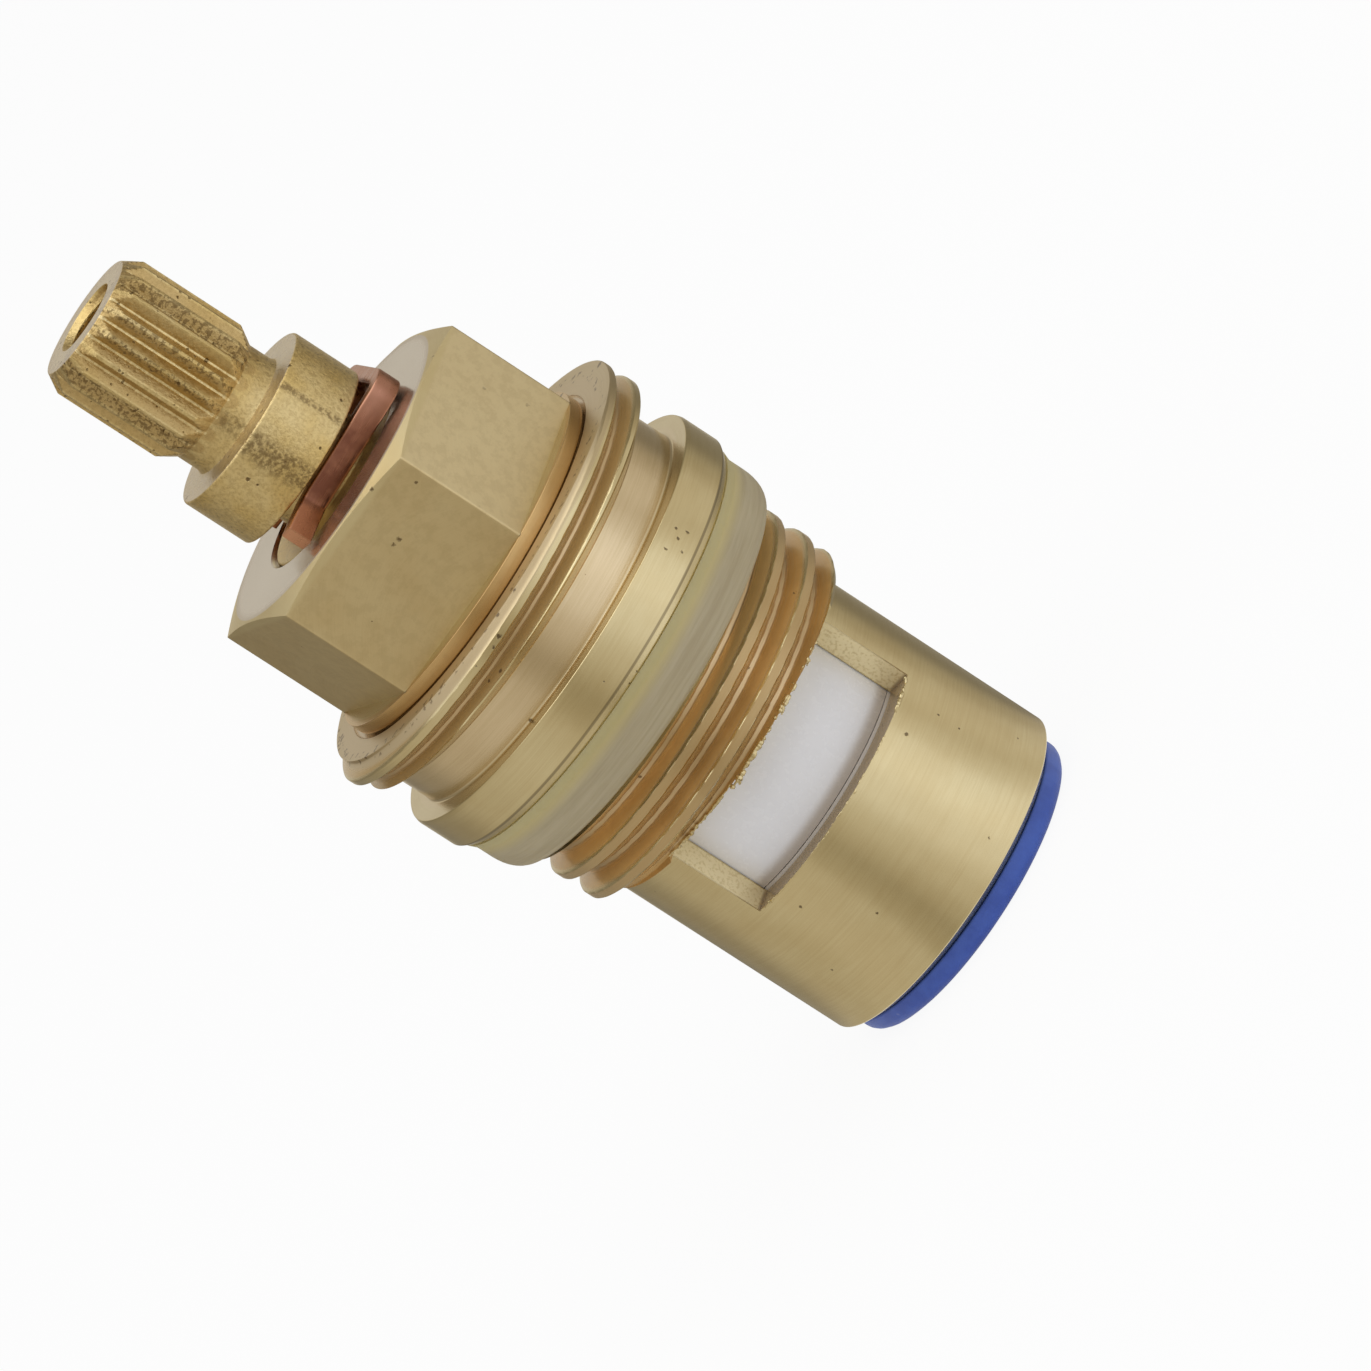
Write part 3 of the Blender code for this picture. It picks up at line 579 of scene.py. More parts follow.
def window_walls():
    """The four cut walls of each window: top, bottom and two sides."""
    walls = []
    for columns, (first, last) in zip(window_columns, window_spans):
        for column in columns:
            beside = (column + 1) % column_count
            for outer, inner, flip in ((outer_top, inner_top, False), (outer_low, inner_low, True)):
                quad = (outer * column_count + column, inner * column_count + column,
                        inner * column_count + beside, outer * column_count + beside)
                walls.append(quad[::-1] if flip else quad)
        outer_rows = list(range(outer_top, outer_low + 1))
        inner_rows = list(range(inner_low, inner_top + 1))[::-1]
        for column, flip in ((first, True), (last, False)):
            i, j = 0, 0
            while i < len(outer_rows) - 1 or j < len(inner_rows) - 1:
                next_outer = body_z[outer_rows[i + 1], 0] if i < len(outer_rows) - 1 else -math.inf
                next_inner = body_z[inner_rows[j + 1], 0] if j < len(inner_rows) - 1 else -math.inf
                a, b = outer_rows[i] * column_count + column, inner_rows[j] * column_count + column
                if next_outer >= next_inner:
                    i += 1
                    face = (a, outer_rows[i] * column_count + column, b)
                else:
                    j += 1
                    face = (a, inner_rows[j] * column_count + column, b)
                walls.append(face[::-1] if flip else face)
    return walls


body = ring_mesh("brass_body", body_r, body_z, angles, skip=in_window, extra_faces=window_walls())


def new_tree(name, *numbers):
    """An empty Geometry Nodes tree with a geometry, these numbers and a material going in."""
    group = bpy.data.node_groups.new(name, "GeometryNodeTree")
    kinds = {"Geometry": "NodeSocketGeometry", **dict.fromkeys(numbers, "NodeSocketFloat"),
             "Material": "NodeSocketMaterial"}
    for label, kind in kinds.items():
        group.interface.new_socket(label, in_out="INPUT", socket_type=kind)
    group.interface.new_socket("Geometry", in_out="OUTPUT", socket_type="NodeSocketGeometry")
    given = add_node(group, "NodeGroupInput").outputs
    return group, {label: Output(given[label]) for label in kinds}


def finish_tree(group, geometry, material):
    """Ends a tree in Realize Instances and Set Material."""
    real = output_of(group, "GeometryNodeRealizeInstances", {"Geometry": geometry})
    coated = output_of(group, "GeometryNodeSetMaterial", {"Geometry": real, "Material": material})
    add_node(group, "NodeGroupOutput", {"Geometry": coated})
    return group


def put_tree(made, group, values):
    """Puts a Geometry Nodes tree on an object, with its inputs set."""
    modifier = made.modifiers.new(group.name, "NODES")
    modifier.node_group = group
    sockets = {item.name: item.identifier for item in group.interface.items_tree if item.in_out == "INPUT"}
    for label, value in values.items():
        modifier[sockets[label.replace("_", " ")]] = value


def shown_mesh(made):
    """A new plain mesh of what an object shows with its modifiers."""
    bpy.context.view_layer.update()
    mesh = bpy.data.meshes.new_from_object(made.evaluated_get(bpy.context.evaluated_depsgraph_get()))
    mesh.name = made.name
    return mesh


def bake(made):
    """Keeps what an object's modifiers give as its plain mesh, and takes them off."""
    mesh = shown_mesh(made)
    made.modifiers.clear()
    made.data = mesh
    return made


def run_tree(made, group, **values):
    """Runs a Geometry Nodes tree on an object with these inputs, and keeps the result."""
    put_tree(made, group, values)
    bake(made)


def cylinder(position):
    """The x, y and z of a position, and its distance from the Z axis."""
    x, y, z = parts_of(position)
    return x, y, z, calc("SQRT", x * x + y * y)


def move_to_radius(geometry, chosen, place, new_radius):
    """Moves the chosen points out or in to a new radius."""
    x, y, z, radius = place
    tree = tree_of(geometry)
    scale = new_radius / calc("MAXIMUM", radius, 1e-6)
    goal = output_of(tree, "ShaderNodeCombineXYZ", {0: x * scale, 1: y * scale, 2: z})
    inputs = {"Geometry": geometry, "Selection": chosen, "Position": goal}
    return output_of(tree, "GeometryNodeSetPosition", inputs)


def keep_cut_depth(geometry, value):
    """Stores how deep each point was cut, as a share, for the materials to read."""
    inputs = {"Geometry": geometry, "Name": "cut_depth", "Value": value}
    return output_of(tree_of(geometry), "GeometryNodeStoreNamedAttribute", inputs,
                     data_type="FLOAT", domain="POINT")


def from_crest(count):
    """0 on a crest and 1 half way to the next, where the count grows by 1 from crest to crest."""
    return abs(calc("FRACT", count + 0.5) - 0.5) * 2.0


def thread_tree():
    """Cuts a helical thread into a round surface. Side is 1 for an outside thread and -1 for a tapped hole."""
    group, given = new_tree("cut_thread", "Pitch", "Low", "High", "Crest Radius", "Depth", "Crest Height",
                            "Crest Share", "Root Share", "Roundness", "Run Out", "Side")
    depth, side, run_out = given["Depth"], given["Side"], given["Run Out"]
    place = x, y, z, radius = cylinder(output_of(group, "GeometryNodeInputPosition"))
    turns = calc("ARCTAN2", y, x) / math.tau
    away = from_crest((z - given["Crest Height"]) / given["Pitch"] - turns)
    root_starts = 1.0 - given["Root Share"]
    straight = ramp(away, given["Crest Share"], root_starts, smooth=False)
    rounded = ramp(away, given["Crest Share"], root_starts)
    groove = calc("MULTIPLY_ADD", rounded - straight, given["Roundness"], straight)
    starts = ramp(z, given["Low"], given["Low"] + run_out)
    ends = ramp(z, given["High"], given["High"] - run_out)
    cut = groove * depth * (starts * ends)
    signed = radius * side
    new_signed = calc("MINIMUM", signed, given["Crest Radius"] * side - cut)
    near = calc("COMPARE", radius, given["Crest Radius"], depth * 1.02)
    chosen = near * ((z > given["Low"]) * (z < given["High"]))
    before = output_of(group, "GeometryNodeInputNamedAttribute", {"Name": "cut_depth"}, "Attribute",
                       data_type="FLOAT")
    deepest = calc("MAXIMUM", (signed - new_signed) / depth * chosen, before)
    geometry = keep_cut_depth(given["Geometry"], deepest)
    geometry = move_to_radius(geometry, chosen, place, new_signed * side)
    return finish_tree(group, geometry, given["Material"])


cut_thread = thread_tree()


def area(*edges):
    """The product of ramps, each of an output in metres from 0 at one place to 1 at another, in mm."""
    mask = None
    for value, low, high in edges:
        edge = ramp(value, low * mm, high * mm)
        mask = edge if mask is None else mask * edge
    return mask


def noise(vector, scale, detail=3.0, roughness=0.55):
    """A noise texture's value."""
    inputs = {"Vector": vector, "Scale": scale, "Detail": detail, "Roughness": roughness}
    return output_of(tree_of(vector), "ShaderNodeTexNoise", inputs, "Fac")


def new_group(name, inputs, outputs):
    """A shader group with these numbers going in and out."""
    group = bpy.data.node_groups.new(name, "ShaderNodeTree")
    for way, labels in (("INPUT", inputs), ("OUTPUT", outputs)):
        for label in labels:
            group.interface.new_socket(label, in_out=way, socket_type="NodeSocketFloat")
    given = add_node(group, "NodeGroupInput").outputs
    return group, {label: Output(given[label]) for label in inputs}


def turning_group():
    """Marks of the lathe: fine rings round Z and a slow cloud, as values from 0 to 1."""
    group, given = new_group("turning_marks", ("Marks Per Metre", "Waver"), ("Rings", "Cloud"))
    position = object_position(group)
    x, y, z, radius = cylinder(position)
    slant = 1.7
    along = (z + radius * slant) * given["Marks Per Metre"]
    spun = output_of(group, "ShaderNodeCombineXYZ", {0: x * given["Waver"], 1: y * given["Waver"], 2: along})
    rings, cloud = noise(spun, 1.0, 4.0, 0.7), noise(position, 260, 3.0, 0.6)
    add_node(group, "NodeGroupOutput", {"Rings": rings, "Cloud": cloud})
    return group


def pit_group():
    """Small dark pits and specks, as a mask that is 1 in a pit."""
    group, given = new_group("pits", ("Scale", "Share", "Size"), ("Pit",))
    position = object_position(group)
    inputs = {"Vector": position, "Scale": given["Scale"]}
    cells = add_node(group, "ShaderNodeTexVoronoi", inputs, feature="F1").outputs
    chance, spread, _ = parts_of(Output(cells["Color"]))
    raggedness, middle_shift = 0.25, 0.125
    size = given["Size"] * (spread + 0.3)
    ragged = calc("MULTIPLY_ADD", noise(position, 9000, 2.0), raggedness, Output(cells["Distance"]))
    near = ramp(ragged, size + middle_shift, calc("MULTIPLY_ADD", size, 0.5, middle_shift))
    add_node(group, "NodeGroupOutput", {"Pit": (chance < given["Share"]) * near})
    return group


turning_marks = turning_group()
pits = pit_group()


def place_group(tree, group, **values):
    """A shader group in a material, with its inputs set. Returns its outputs by name."""
    inputs = {label.replace("_", " "): value for label, value in values.items()}
    outputs = add_node(tree, "ShaderNodeGroup", inputs, node_tree=group).outputs
    return {socket.name: Output(socket) for socket in outputs}


def finish(material, inputs):
    """Links or writes a look into a material's Principled BSDF."""
    for label, source in inputs.items():
        wire(material.node_tree.nodes["Principled BSDF"].inputs[label], source)
    return material


def new_finish(name, colour, roughness, metallic=0.0):
    """A material of one plain Principled BSDF. Returns it with its tree and its object position."""
    material = bpy.data.materials.new(name)
    material.use_nodes = True
    material.diffuse_color = (*colour, 1.0)
    finish(material, {"Base Color": colour, "Roughness": roughness, "Metallic": metallic})
    return material, material.node_tree, object_position(material.node_tree)


def bump(height, distance, strength):
    """A Bump node's normal. The distance is in mm."""
    inputs = {"Strength": strength, "Distance": distance * mm, "Height": height}
    return output_of(tree_of(height), "ShaderNodeBump", inputs, "Normal")


def cut_depth(tree):
    """The share of its depth to which a thread or spline was cut."""
    return output_of(tree, "ShaderNodeAttribute", socket="Fac", attribute_type="GEOMETRY",
                     attribute_name="cut_depth")


def stained(colour, stains):
    """A colour with stains laid over it in turn, each a mask, its strength and its own colour."""
    for mask, strength, stain in stains:
        colour = mix(mask * strength, colour, stain)
    return colour


knocks = (
    # small dents and chips, each at a place in mm with its radius
    ((-1.34, -8.51, 36.04), 0.16), ((-1.72, -8.38, 36.07), 0.12), ((-0.06, -8.93, 38.58), 0.14),
    ((7.42, -4.78, 35.64), 0.09), ((7.96, -4.30, 33.28), 0.11), ((6.36, -10.18, 24.97), 0.12),
    ((6.00, -10.39, 24.67), 0.10), ((6.51, -10.08, 24.39), 0.11), ((5.18, -10.82, 25.04), 0.09),
    ((5.48, -10.67, 24.20), 0.09), ((-2.03, -11.39, 30.51), 0.15), ((-0.59, -11.64, 30.49), 0.12),
    ((-2.88, -11.80, 29.97), 0.17), ((-3.45, -11.65, 29.84), 0.14), ((-4.20, -11.05, 28.83), 0.15),
    ((-4.89, -10.53, 28.92), 0.13), ((4.25, -8.16, 9.10), 0.12), ((-5.73, -7.20, 8.78), 0.11),
    ((2.07, -8.96, 2.92), 0.09),
)
knock_floor = 0.35
dark_pit = (0.10, 0.06, 0.03)


def body_brass():
    """Turned brass: pale satin faces with lathe marks, browner in the threads and grooves, a few pits, and
    painted light and shade in places.
    """
    material, tree, position = new_finish("body_brass", (0.68, 0.57, 0.33), 0.30, 1.0)
    _, _, level, radius = cylinder(position)
    cut = cut_depth(tree)
    marks = place_group(tree, turning_marks, Marks_Per_Metre=24000.0, Waver=90.0)
    fine = place_group(tree, turning_marks, Marks_Per_Metre=7000.0, Waver=260.0)
    specks = highest(place_group(tree, pits, Scale=1500.0, Share=0.035, Size=0.15)["Pit"],
                     place_group(tree, pits, Scale=420.0, Share=0.03, Size=0.11)["Pit"])
    uneven = (noise(position, 6000, 2.0) - 0.5) * (0.3 * mm)
    for spot, size in knocks:
        inputs = {0: position, 1: [value * mm for value in spot]}
        away = output_of(tree, "ShaderNodeVectorMath", inputs, "Value", operation="DISTANCE")
        specks = highest(specks, ramp(away + uneven, size * mm, size * knock_floor * mm))

    # where each finish and each painted light or shade lies, by height and distance from the axis in mm
    in_thread = ramp(cut, 0.08, 0.28) * ramp(cut, 0.99, 0.90)
    at_root = ramp(cut, 0.90, 0.98, 0, 0.75)
    # painted light: the thread's tarnish is lifted to a paler gold where the washer shades it
    painted_light_under_washer = area((level, 18.7, 19.6), (level, 21.0, 20.5))
    by_rim = area((level, 27.0, 28.0))
    on_crest = area((level, 15.3, 15.5), (level, 20.0, 19.8), (radius, 10.35, 10.42)) * ramp(cut, 0.02, 0.005)
    in_groove = area((radius, 11.3, 11.0), (level, 25.6, 26.0), (level, 31.2, 30.7))
    # painted reflection: the land at the hexagon's foot is painted brown for the warm reflection it shows
    painted_reflection_on_land = area((radius, 9.35, 9.60), (radius, 9.90, 9.82), (level, 31.30, 31.27), (level, 30.50, 30.58))
    under_land = area((radius, 10.04, 9.96), (level, 30.53, 30.50), (level, 30.1, 30.2))
    on_rim_top = area((radius, 10.02, 10.08), (level, 30.08, 30.24), (level, 31.0, 30.8))
    pit_row = area((radius, 10.85, 10.95), (radius, 11.60, 11.50)) * on_rim_top
    pit_row = pit_row * ramp(noise(position, 2600, 2.0), 0.57, 0.64)
    # painted shade: a thin dark line along the flange's lower edge
    painted_shade_under_flange = area((level, 23.46, 23.52), (level, 23.68, 23.62))
    on_walls = area((radius, 7.72, 7.80), (radius, 9.17, 9.11), (level, 10.00, 10.06), (level, 15.62, 15.55))
    on_sill = on_walls * area((level, 10.35, 10.15))
    at_bore = area((radius, 5.24, 5.14), (level, 38.0, 38.4))
    on_hexagon = area((level, 31.2, 31.4), (radius, 7.8, 8.4))
    # painted reflection: the hexagon's top face is painted a pinkish grey
    painted_reflection_on_top = area((level, 38.68, 38.75), (radius, 8.38, 8.32))
    on_flats = on_hexagon * area((level, 38.4, 38.1))
    # painted light: the flats that face +X are painted lighter than the others
    facing_x = parts_of(output_of(tree, "ShaderNodeNewGeometry", socket="Normal"))[0]
    painted_light_on_right_flat = on_flats * ramp(facing_x, 0.35, 0.6)
    turned = ramp(level, 31.1 * mm, 31.3 * mm, 1.0, 0.25)

    tarnish = mix(ramp(marks["Cloud"], 0.35, 0.65), (0.66, 0.39, 0.115), (0.54, 0.31, 0.085))
    tarnish = stained(tarnish, ((painted_light_under_washer, 0.8, (1.0, 0.66, 0.25)), (by_rim, 0.8, (0.46, 0.30, 0.11))))
    colour = mix(ramp(marks["Cloud"], 0.35, 0.7), (0.72, 0.615, 0.370), (0.68, 0.565, 0.325))
    colour = stained(colour, (
        (in_thread, 0.9, tarnish),
        (at_root, 1.0, (0.66, 0.47, 0.28)),
        (on_crest, 0.85, (0.46, 0.29, 0.115)),
        (in_groove, 0.6, (0.76, 0.60, 0.42)),
        (turned, ramp(marks["Rings"], 0.35, 0.68, 0.0, 0.16), (0.50, 0.39, 0.20)),
        (turned, ramp(fine["Rings"], 0.40, 0.66, 0.0, 0.22), (0.55, 0.43, 0.22)),
        (painted_reflection_on_land, 0.85, (0.62, 0.40, 0.17)),
        (under_land, 0.45, (0.30, 0.20, 0.10)),
        (on_rim_top, 0.8, (0.56, 0.45, 0.28)),
        (pit_row, 0.75, (0.16, 0.10, 0.05)),
        (painted_shade_under_flange, 0.6, (0.14, 0.10, 0.05)),
        (on_walls, 1.0, (0.92, 0.79, 0.48)),
        (on_sill, 0.85, (0.34, 0.25, 0.16)),
        (on_walls, ramp(noise(position, 6500, 3.0), 0.48, 0.66, 0.0, 0.45), (0.50, 0.36, 0.16)),
        (at_bore, 0.6, (0.16, 0.11, 0.06)),
        (specks, 0.8, dark_pit),
        (painted_reflection_on_top, 0.75, (0.62, 0.565, 0.53)),
    ))
    colour = mix(on_flats * 0.7, colour, (0.92, 0.87, 0.82), blend="MULTIPLY")
    colour = stained(colour, (
        (painted_light_on_right_flat, 0.6, (0.80, 0.69, 0.45)),
        (on_flats, ramp(noise(position, 1500, 4.0, 0.7), 0.42, 0.62, 0.0, 0.16), (0.40, 0.30, 0.15)),
    ))
    matt = calc("MULTIPLY_ADD", on_rim_top, 0.16, on_hexagon * 0.26 + ramp(cut, 0.80, 0.95, 0.0, 0.14))
    dull = highest(on_walls * 0.6, in_thread * 0.62, on_crest * 0.5)
    height = calc("MULTIPLY_ADD", fine["Rings"] * turned, 0.30, marks["Rings"] * 0.25 - specks)
    return finish(material, {
        "Base Color": colour,
        "Metallic": 1.0 - dull,
        "Roughness": ramp(marks["Rings"], 0.3, 0.7, 0.17, 0.26) + matt,
        "Normal": bump(height, 0.02, 0.6),
        "Anisotropic": 0.55,
        "Anisotropic Rotation": 0.25,
        "Tangent": output_of(tree, "ShaderNodeTangent", direction_type="RADIAL", axis="Z"),
    })


brass = body_brass()
body.data.materials.append(brass)
run_tree(body, cut_thread, Pitch=thread_pitch * mm, Low=thread_starts * mm, High=thread_ends * mm,
         Crest_Radius=thread_radius * mm, Depth=thread_depth * mm, Crest_Height=thread_crest_at * mm,
         Crest_Share=0.24, Root_Share=0.12, Roundness=0.30, Run_Out=run_out * mm, Side=1.0, Material=brass)
run_tree(body, cut_thread, Pitch=rim_pitch * mm, Low=rim_starts * mm, High=rim_ends * mm,
         Crest_Radius=rim_radius * mm, Depth=rim_depth * mm, Crest_Height=rim_crest_at * mm,
         Crest_Share=0.22, Root_Share=0.10, Roundness=0.4, Run_Out=run_out * mm, Side=1.0, Material=brass)
sharpen(body, smooth_angle)


def polar(radius, start, end, steps):
    """Points on a circle about Z in mm, between two angles in degrees."""
    turn = np.radians(np.linspace(start, end, steps + 1))
    return list(zip(radius * np.cos(turn), radius * np.sin(turn)))


def sector(middle, half, first, second, first_steps, second_steps):
    """The outline of a piece of a ring: one arc at the first radius, and one back at the second."""
    there = polar(first, middle - half, middle + half, first_steps)
    return there + polar(second, middle + half, middle - half, second_steps)


def plate_blank(name, outlines, low, high, edge, material):
    """A flat plate between two heights in mm, with holes after its first outline, its edges not yet baked."""
    curve = bpy.data.curves.new(name, "CURVE")
    curve.dimensions = "2D"
    curve.fill_mode = "BOTH"
    curve.extrude = (high - low) / 2 * mm
    for loop in outlines:
        spline = curve.splines.new("POLY")
        spline.points.add(len(loop) - 1)
        for point, (x, y) in zip(spline.points, loop):
            point.co = (x * mm, y * mm, 0, 1)
        spline.use_cyclic_u = True
    flat = put_object(name, curve)
    mesh = shown_mesh(flat)
    bpy.data.objects.remove(flat, do_unlink=True)
    mesh.transform(Matrix.Translation((0, 0, (low + high) / 2 * mm)))
    mesh.materials.clear()
    mesh.materials.append(material)
    made = put_object(name, mesh)
    made.modifiers.new("weld", "WELD").merge_threshold = 1e-7
    if edge:
        breaks = made.modifiers.new("broken_edges", "BEVEL")
        breaks.width = edge * mm
        breaks.segments = 2
        breaks.limit_method = "ANGLE"
        breaks.angle_limit = math.radians(50)
    return made


def plate(name, outlines, low, high, edge, material):
    """A finished flat plate with rounded edges, smooth on its round faces."""
    return sharpen(bake(plate_blank(name, outlines, low, high, edge, material)), smooth_angle)


def join_into(target, others):
    """Joins other objects' meshes into the target's, and removes them."""
    with bpy.context.temp_override(active_object=target, selected_editable_objects=[target, *others]):
        bpy.ops.object.join()


rib_middles, rib_outer, rib_edge = (0, 180), 7.8, 0.08
key_inner, key_low, key_high = 6.8, 5.55, 10.20
key_half = math.degrees(1.0 / cage_bore)
stop_inner, stop_low, stop_high, stop_half = 6.2, 16.20, 19.25, 14
ribs = []
for middle in rib_middles:
    key = sector(middle, key_half, key_inner, rib_outer, 4, 4)
    stop = sector(middle, stop_half, stop_inner, rib_outer, 10, 10)
    ribs.append(plate(f"disc_key_{middle}", [key], key_low, key_high, rib_edge, brass))
    ribs.append(plate(f"turn_stop_{middle}", [stop], stop_low, stop_high, rib_edge, brass))
join_into(body, ribs)
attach(body, "housing")
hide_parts("headwork_body")

# --------------------------------------------------------------------------------------------------
# Burrs. The cutter that mills the water windows drags thin ragged edges of brass and a few curled chips out
# of the thread above them and the sleeve below them. They stay on the body, up to 0.3 mm proud.
burr_runs = (
    # bearings from and to, radius and height in mm, thickness in mm at both ends and in the middle
    (-138, -118, 9.50, 15.60, 0.05, 0.09),
    (-118, -106, 9.55, 15.58, 0.05, 0.07),
    (-107, -100, 9.60, 15.44, 0.08, 0.19),
    (-102, -84, 9.60, 15.52, 0.07, 0.13),
    (-86, -66, 9.72, 15.54, 0.06, 0.12),
    (-68, -43, 9.90, 15.55, 0.04, 0.08),
    (-138, -128, 9.17, 10.08, 0.03, 0.07),
    (-128, -60, 9.17, 10.07, 0.03, 0.04),
    (-60, -43, 9.17, 10.08, 0.03, 0.08),
    (42, 66, 9.60, 15.55, 0.04, 0.10),
    (66, 100, 9.50, 15.52, 0.05, 0.14),
    (100, 137, 9.45, 15.55, 0.04, 0.09),
    (45, 136, 9.17, 10.07, 0.03, 0.06),
)
curl_chips = (
    # bearing, radius, height and size of the curl in mm
    (-64.2, 9.95, 15.50, 0.17), (-80.7, 9.75, 15.42, 0.12), (-128.0, 9.60, 15.62, 0.13),
    (-104.5, 9.62, 15.34, 0.12), (-134.5, 9.22, 10.16, 0.12), (-45.6, 9.22, 10.18, 0.13),
    (71.0, 9.72, 15.44, 0.15), (112.0, 9.62, 15.50, 0.12),
)
run_steps, curl_steps = 24, 12
curl_thick, curl_slide = 0.055, 0.004


def burr_tree():
    """Turns lines into ragged strings of metal, with a fixed waver in place and thickness."""
    group, given = new_tree("ragged_burr", "Step", "Waver", "Grain")
    even = output_of(group, "GeometryNodeResampleCurve",
                     {"Curve": given["Geometry"], "Length": given["Step"]}, mode="LENGTH")
    position = output_of(group, "GeometryNodeInputPosition")
    inputs = {"Vector": position, "Scale": given["Grain"], "Detail": 2.0}
    jagged = add_node(group, "ShaderNodeTexNoise", inputs).outputs
    inputs = {0: Output(jagged["Color"]), 1: (0.5, 0.5, 0.5)}
    centred = output_of(group, "ShaderNodeVectorMath", inputs, operation="SUBTRACT")
    inputs = {0: centred, "Scale": given["Waver"]}
    pushed = output_of(group, "ShaderNodeVectorMath", inputs, operation="SCALE")
    moved = output_of(group, "GeometryNodeSetPosition", {"Geometry": even, "Offset": pushed})
    own_radius = output_of(group, "GeometryNodeInputRadius")
    coarse = ramp(Output(jagged["Fac"]), 0.36, 0.62, 0.35, 1.5)
    thin = output_of(group, "GeometryNodeSetCurveRadius", {"Curve": moved, "Radius": coarse * own_radius})
    inputs = {"Resolution": 6, "Radius": 1.0}
    section = output_of(group, "GeometryNodeCurvePrimitiveCircle", inputs, mode="RADIUS")
    inputs = {"Curve": thin, "Profile Curve": section, "Scale": own_radius, "Fill Caps": True}
    return finish_tree(group, output_of(group, "GeometryNodeCurveToMesh", inputs), given["Material"])


def curve_piece(name, lines, group, **values):
    """A piece swept by a Geometry Nodes tree along lines of (place in mm, curve radius)."""
    curve = bpy.data.curves.new(name, "CURVE")
    curve.dimensions = "3D"
    for line in lines:
        spline = curve.splines.new("POLY")
        spline.points.add(len(line) - 1)
        for point, (place, radius) in zip(spline.points, line):
            point.co = (*(value * mm for value in place), 1)
            point.radius = radius
    path = put_object(name, curve)
    put_tree(path, group, values)
    mesh = shown_mesh(path)
    bpy.data.objects.remove(path, do_unlink=True)
    return put_object(name, mesh)


burr_lines = []
for start, end, radius, height, thin_at_ends, thick_in_middle in burr_runs:
    line = []
    for share in np.arange(run_steps + 1) / run_steps:
        turn = math.radians(start + (end - start) * share)
        thick = thin_at_ends + (thick_in_middle - thin_at_ends) * math.sin(math.pi * share)
        line.append(((radius * math.cos(turn), radius * math.sin(turn), height), thick * mm))
    burr_lines.append(line)
for bearing, radius, height, size in curl_chips:
    line = []
    for step in range(curl_steps):
        curl = math.tau * step / (curl_steps + 1)
        reach_out = radius + size * 0.6 * (1 - math.cos(curl)) / 2
        slide = math.radians(bearing) + size / radius * math.sin(curl) + curl_slide * step
        lift = height - size * math.cos(curl) * 0.5
        line.append(((reach_out * math.cos(slide), reach_out * math.sin(slide), lift), curl_thick * mm))
    burr_lines.append(line)
burrs = curve_piece("brass_burrs", burr_lines, burr_tree(), Step=0.05 * mm, Waver=0.20 * mm, Grain=3600.0,
                    Material=brass)
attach(burrs, "housing")

# --------------------------------------------------------------------------------------------------
# Ceramic discs. Two lapped white alumina discs. The fixed one has two sector ports and two key notches, and
# the moving one, which is what shows in the windows, has two lobes and a slot for the spindle's tongue.
disc_radius, disc_edge = 7.65, 0.2
fixed_low, fixed_high = 5.55, 10.25
moving_low, moving_high = 10.30, 15.90
hub_radius = 3.4
lobe_half = 52.0
slot_end, slot_half_wide, slot_low, slot_high = 4.98, 1.88, 13.50, 17.00
notch_radius = 6.72
notch_half = math.degrees(1.08 / cage_bore)
port_outer, port_inner, port_half = 5.8, 2.6, 33


def white_ceramic():
    """Lapped alumina: white, slightly grey, with a faint cloud, a soft shine, and a painted pinkish-grey band
    of reflection and shade towards the bottom.
    """
    material, _, position = new_finish("white_ceramic", (0.80, 0.80, 0.83), 0.22)
    colour = mix(noise(position, 420, 3.0), (0.84, 0.84, 0.87), (0.90, 0.90, 0.92))
    # painted reflection and shade: pinkish grey below 11.1 mm, at full strength from 10.5 mm down
    painted_reflection_shade_band = area((cylinder(position)[2], 11.1, 10.5))
    return finish(material, {
        "Base Color": stained(colour, ((painted_reflection_shade_band, 0.85, (0.52, 0.46, 0.40)),)),
        "Roughness": ramp(noise(position, 2600, 2.0), 0.3, 0.7, 0.18, 0.30),
    })


def cut_away(made, other):
    """Cuts another solid out of this one."""
    modifier = made.modifiers.new("cut", "BOOLEAN")
    modifier.operation = "DIFFERENCE"
    modifier.solver = "EXACT"
    modifier.object = other
    sharpen(bake(made), smooth_angle)
    bpy.data.objects.remove(other, do_unlink=True)


ceramic = white_ceramic()
lobes = []
for middle in window_middles:
    lobes += polar(disc_radius, middle - lobe_half, middle + lobe_half, 60)
    lobes += polar(hub_radius, middle + lobe_half, middle + 180 - lobe_half, 16)
moving_disc = plate("ceramic_moving_disc", [lobes], moving_low, moving_high, disc_edge, ceramic)
slot_turn = math.degrees(math.asin(slot_half_wide / slot_end))
slot = [point for end in (90, 270) for point in polar(slot_end, end - slot_turn, end + slot_turn, 8)]
cut_away(moving_disc, plate_blank("tongue_slot", [slot], slot_low, slot_high, 0, ceramic))
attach(moving_disc, "turning_spindle")
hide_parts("moving_disc")

fixed_rim = []
for middle in rib_middles:
    fixed_rim += polar(notch_radius, middle - notch_half, middle + notch_half, 3)
    fixed_rim += polar(disc_radius, middle + notch_half, middle + 180 - notch_half, 80)
ports = [sector(middle, port_half, port_outer, port_inner, 24, 16) for middle in window_middles]
fixed_disc = plate("ceramic_fixed_disc", [fixed_rim, *ports], fixed_low, fixed_high, disc_edge, ceramic)
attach(fixed_disc, "housing")
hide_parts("fixed_disc")

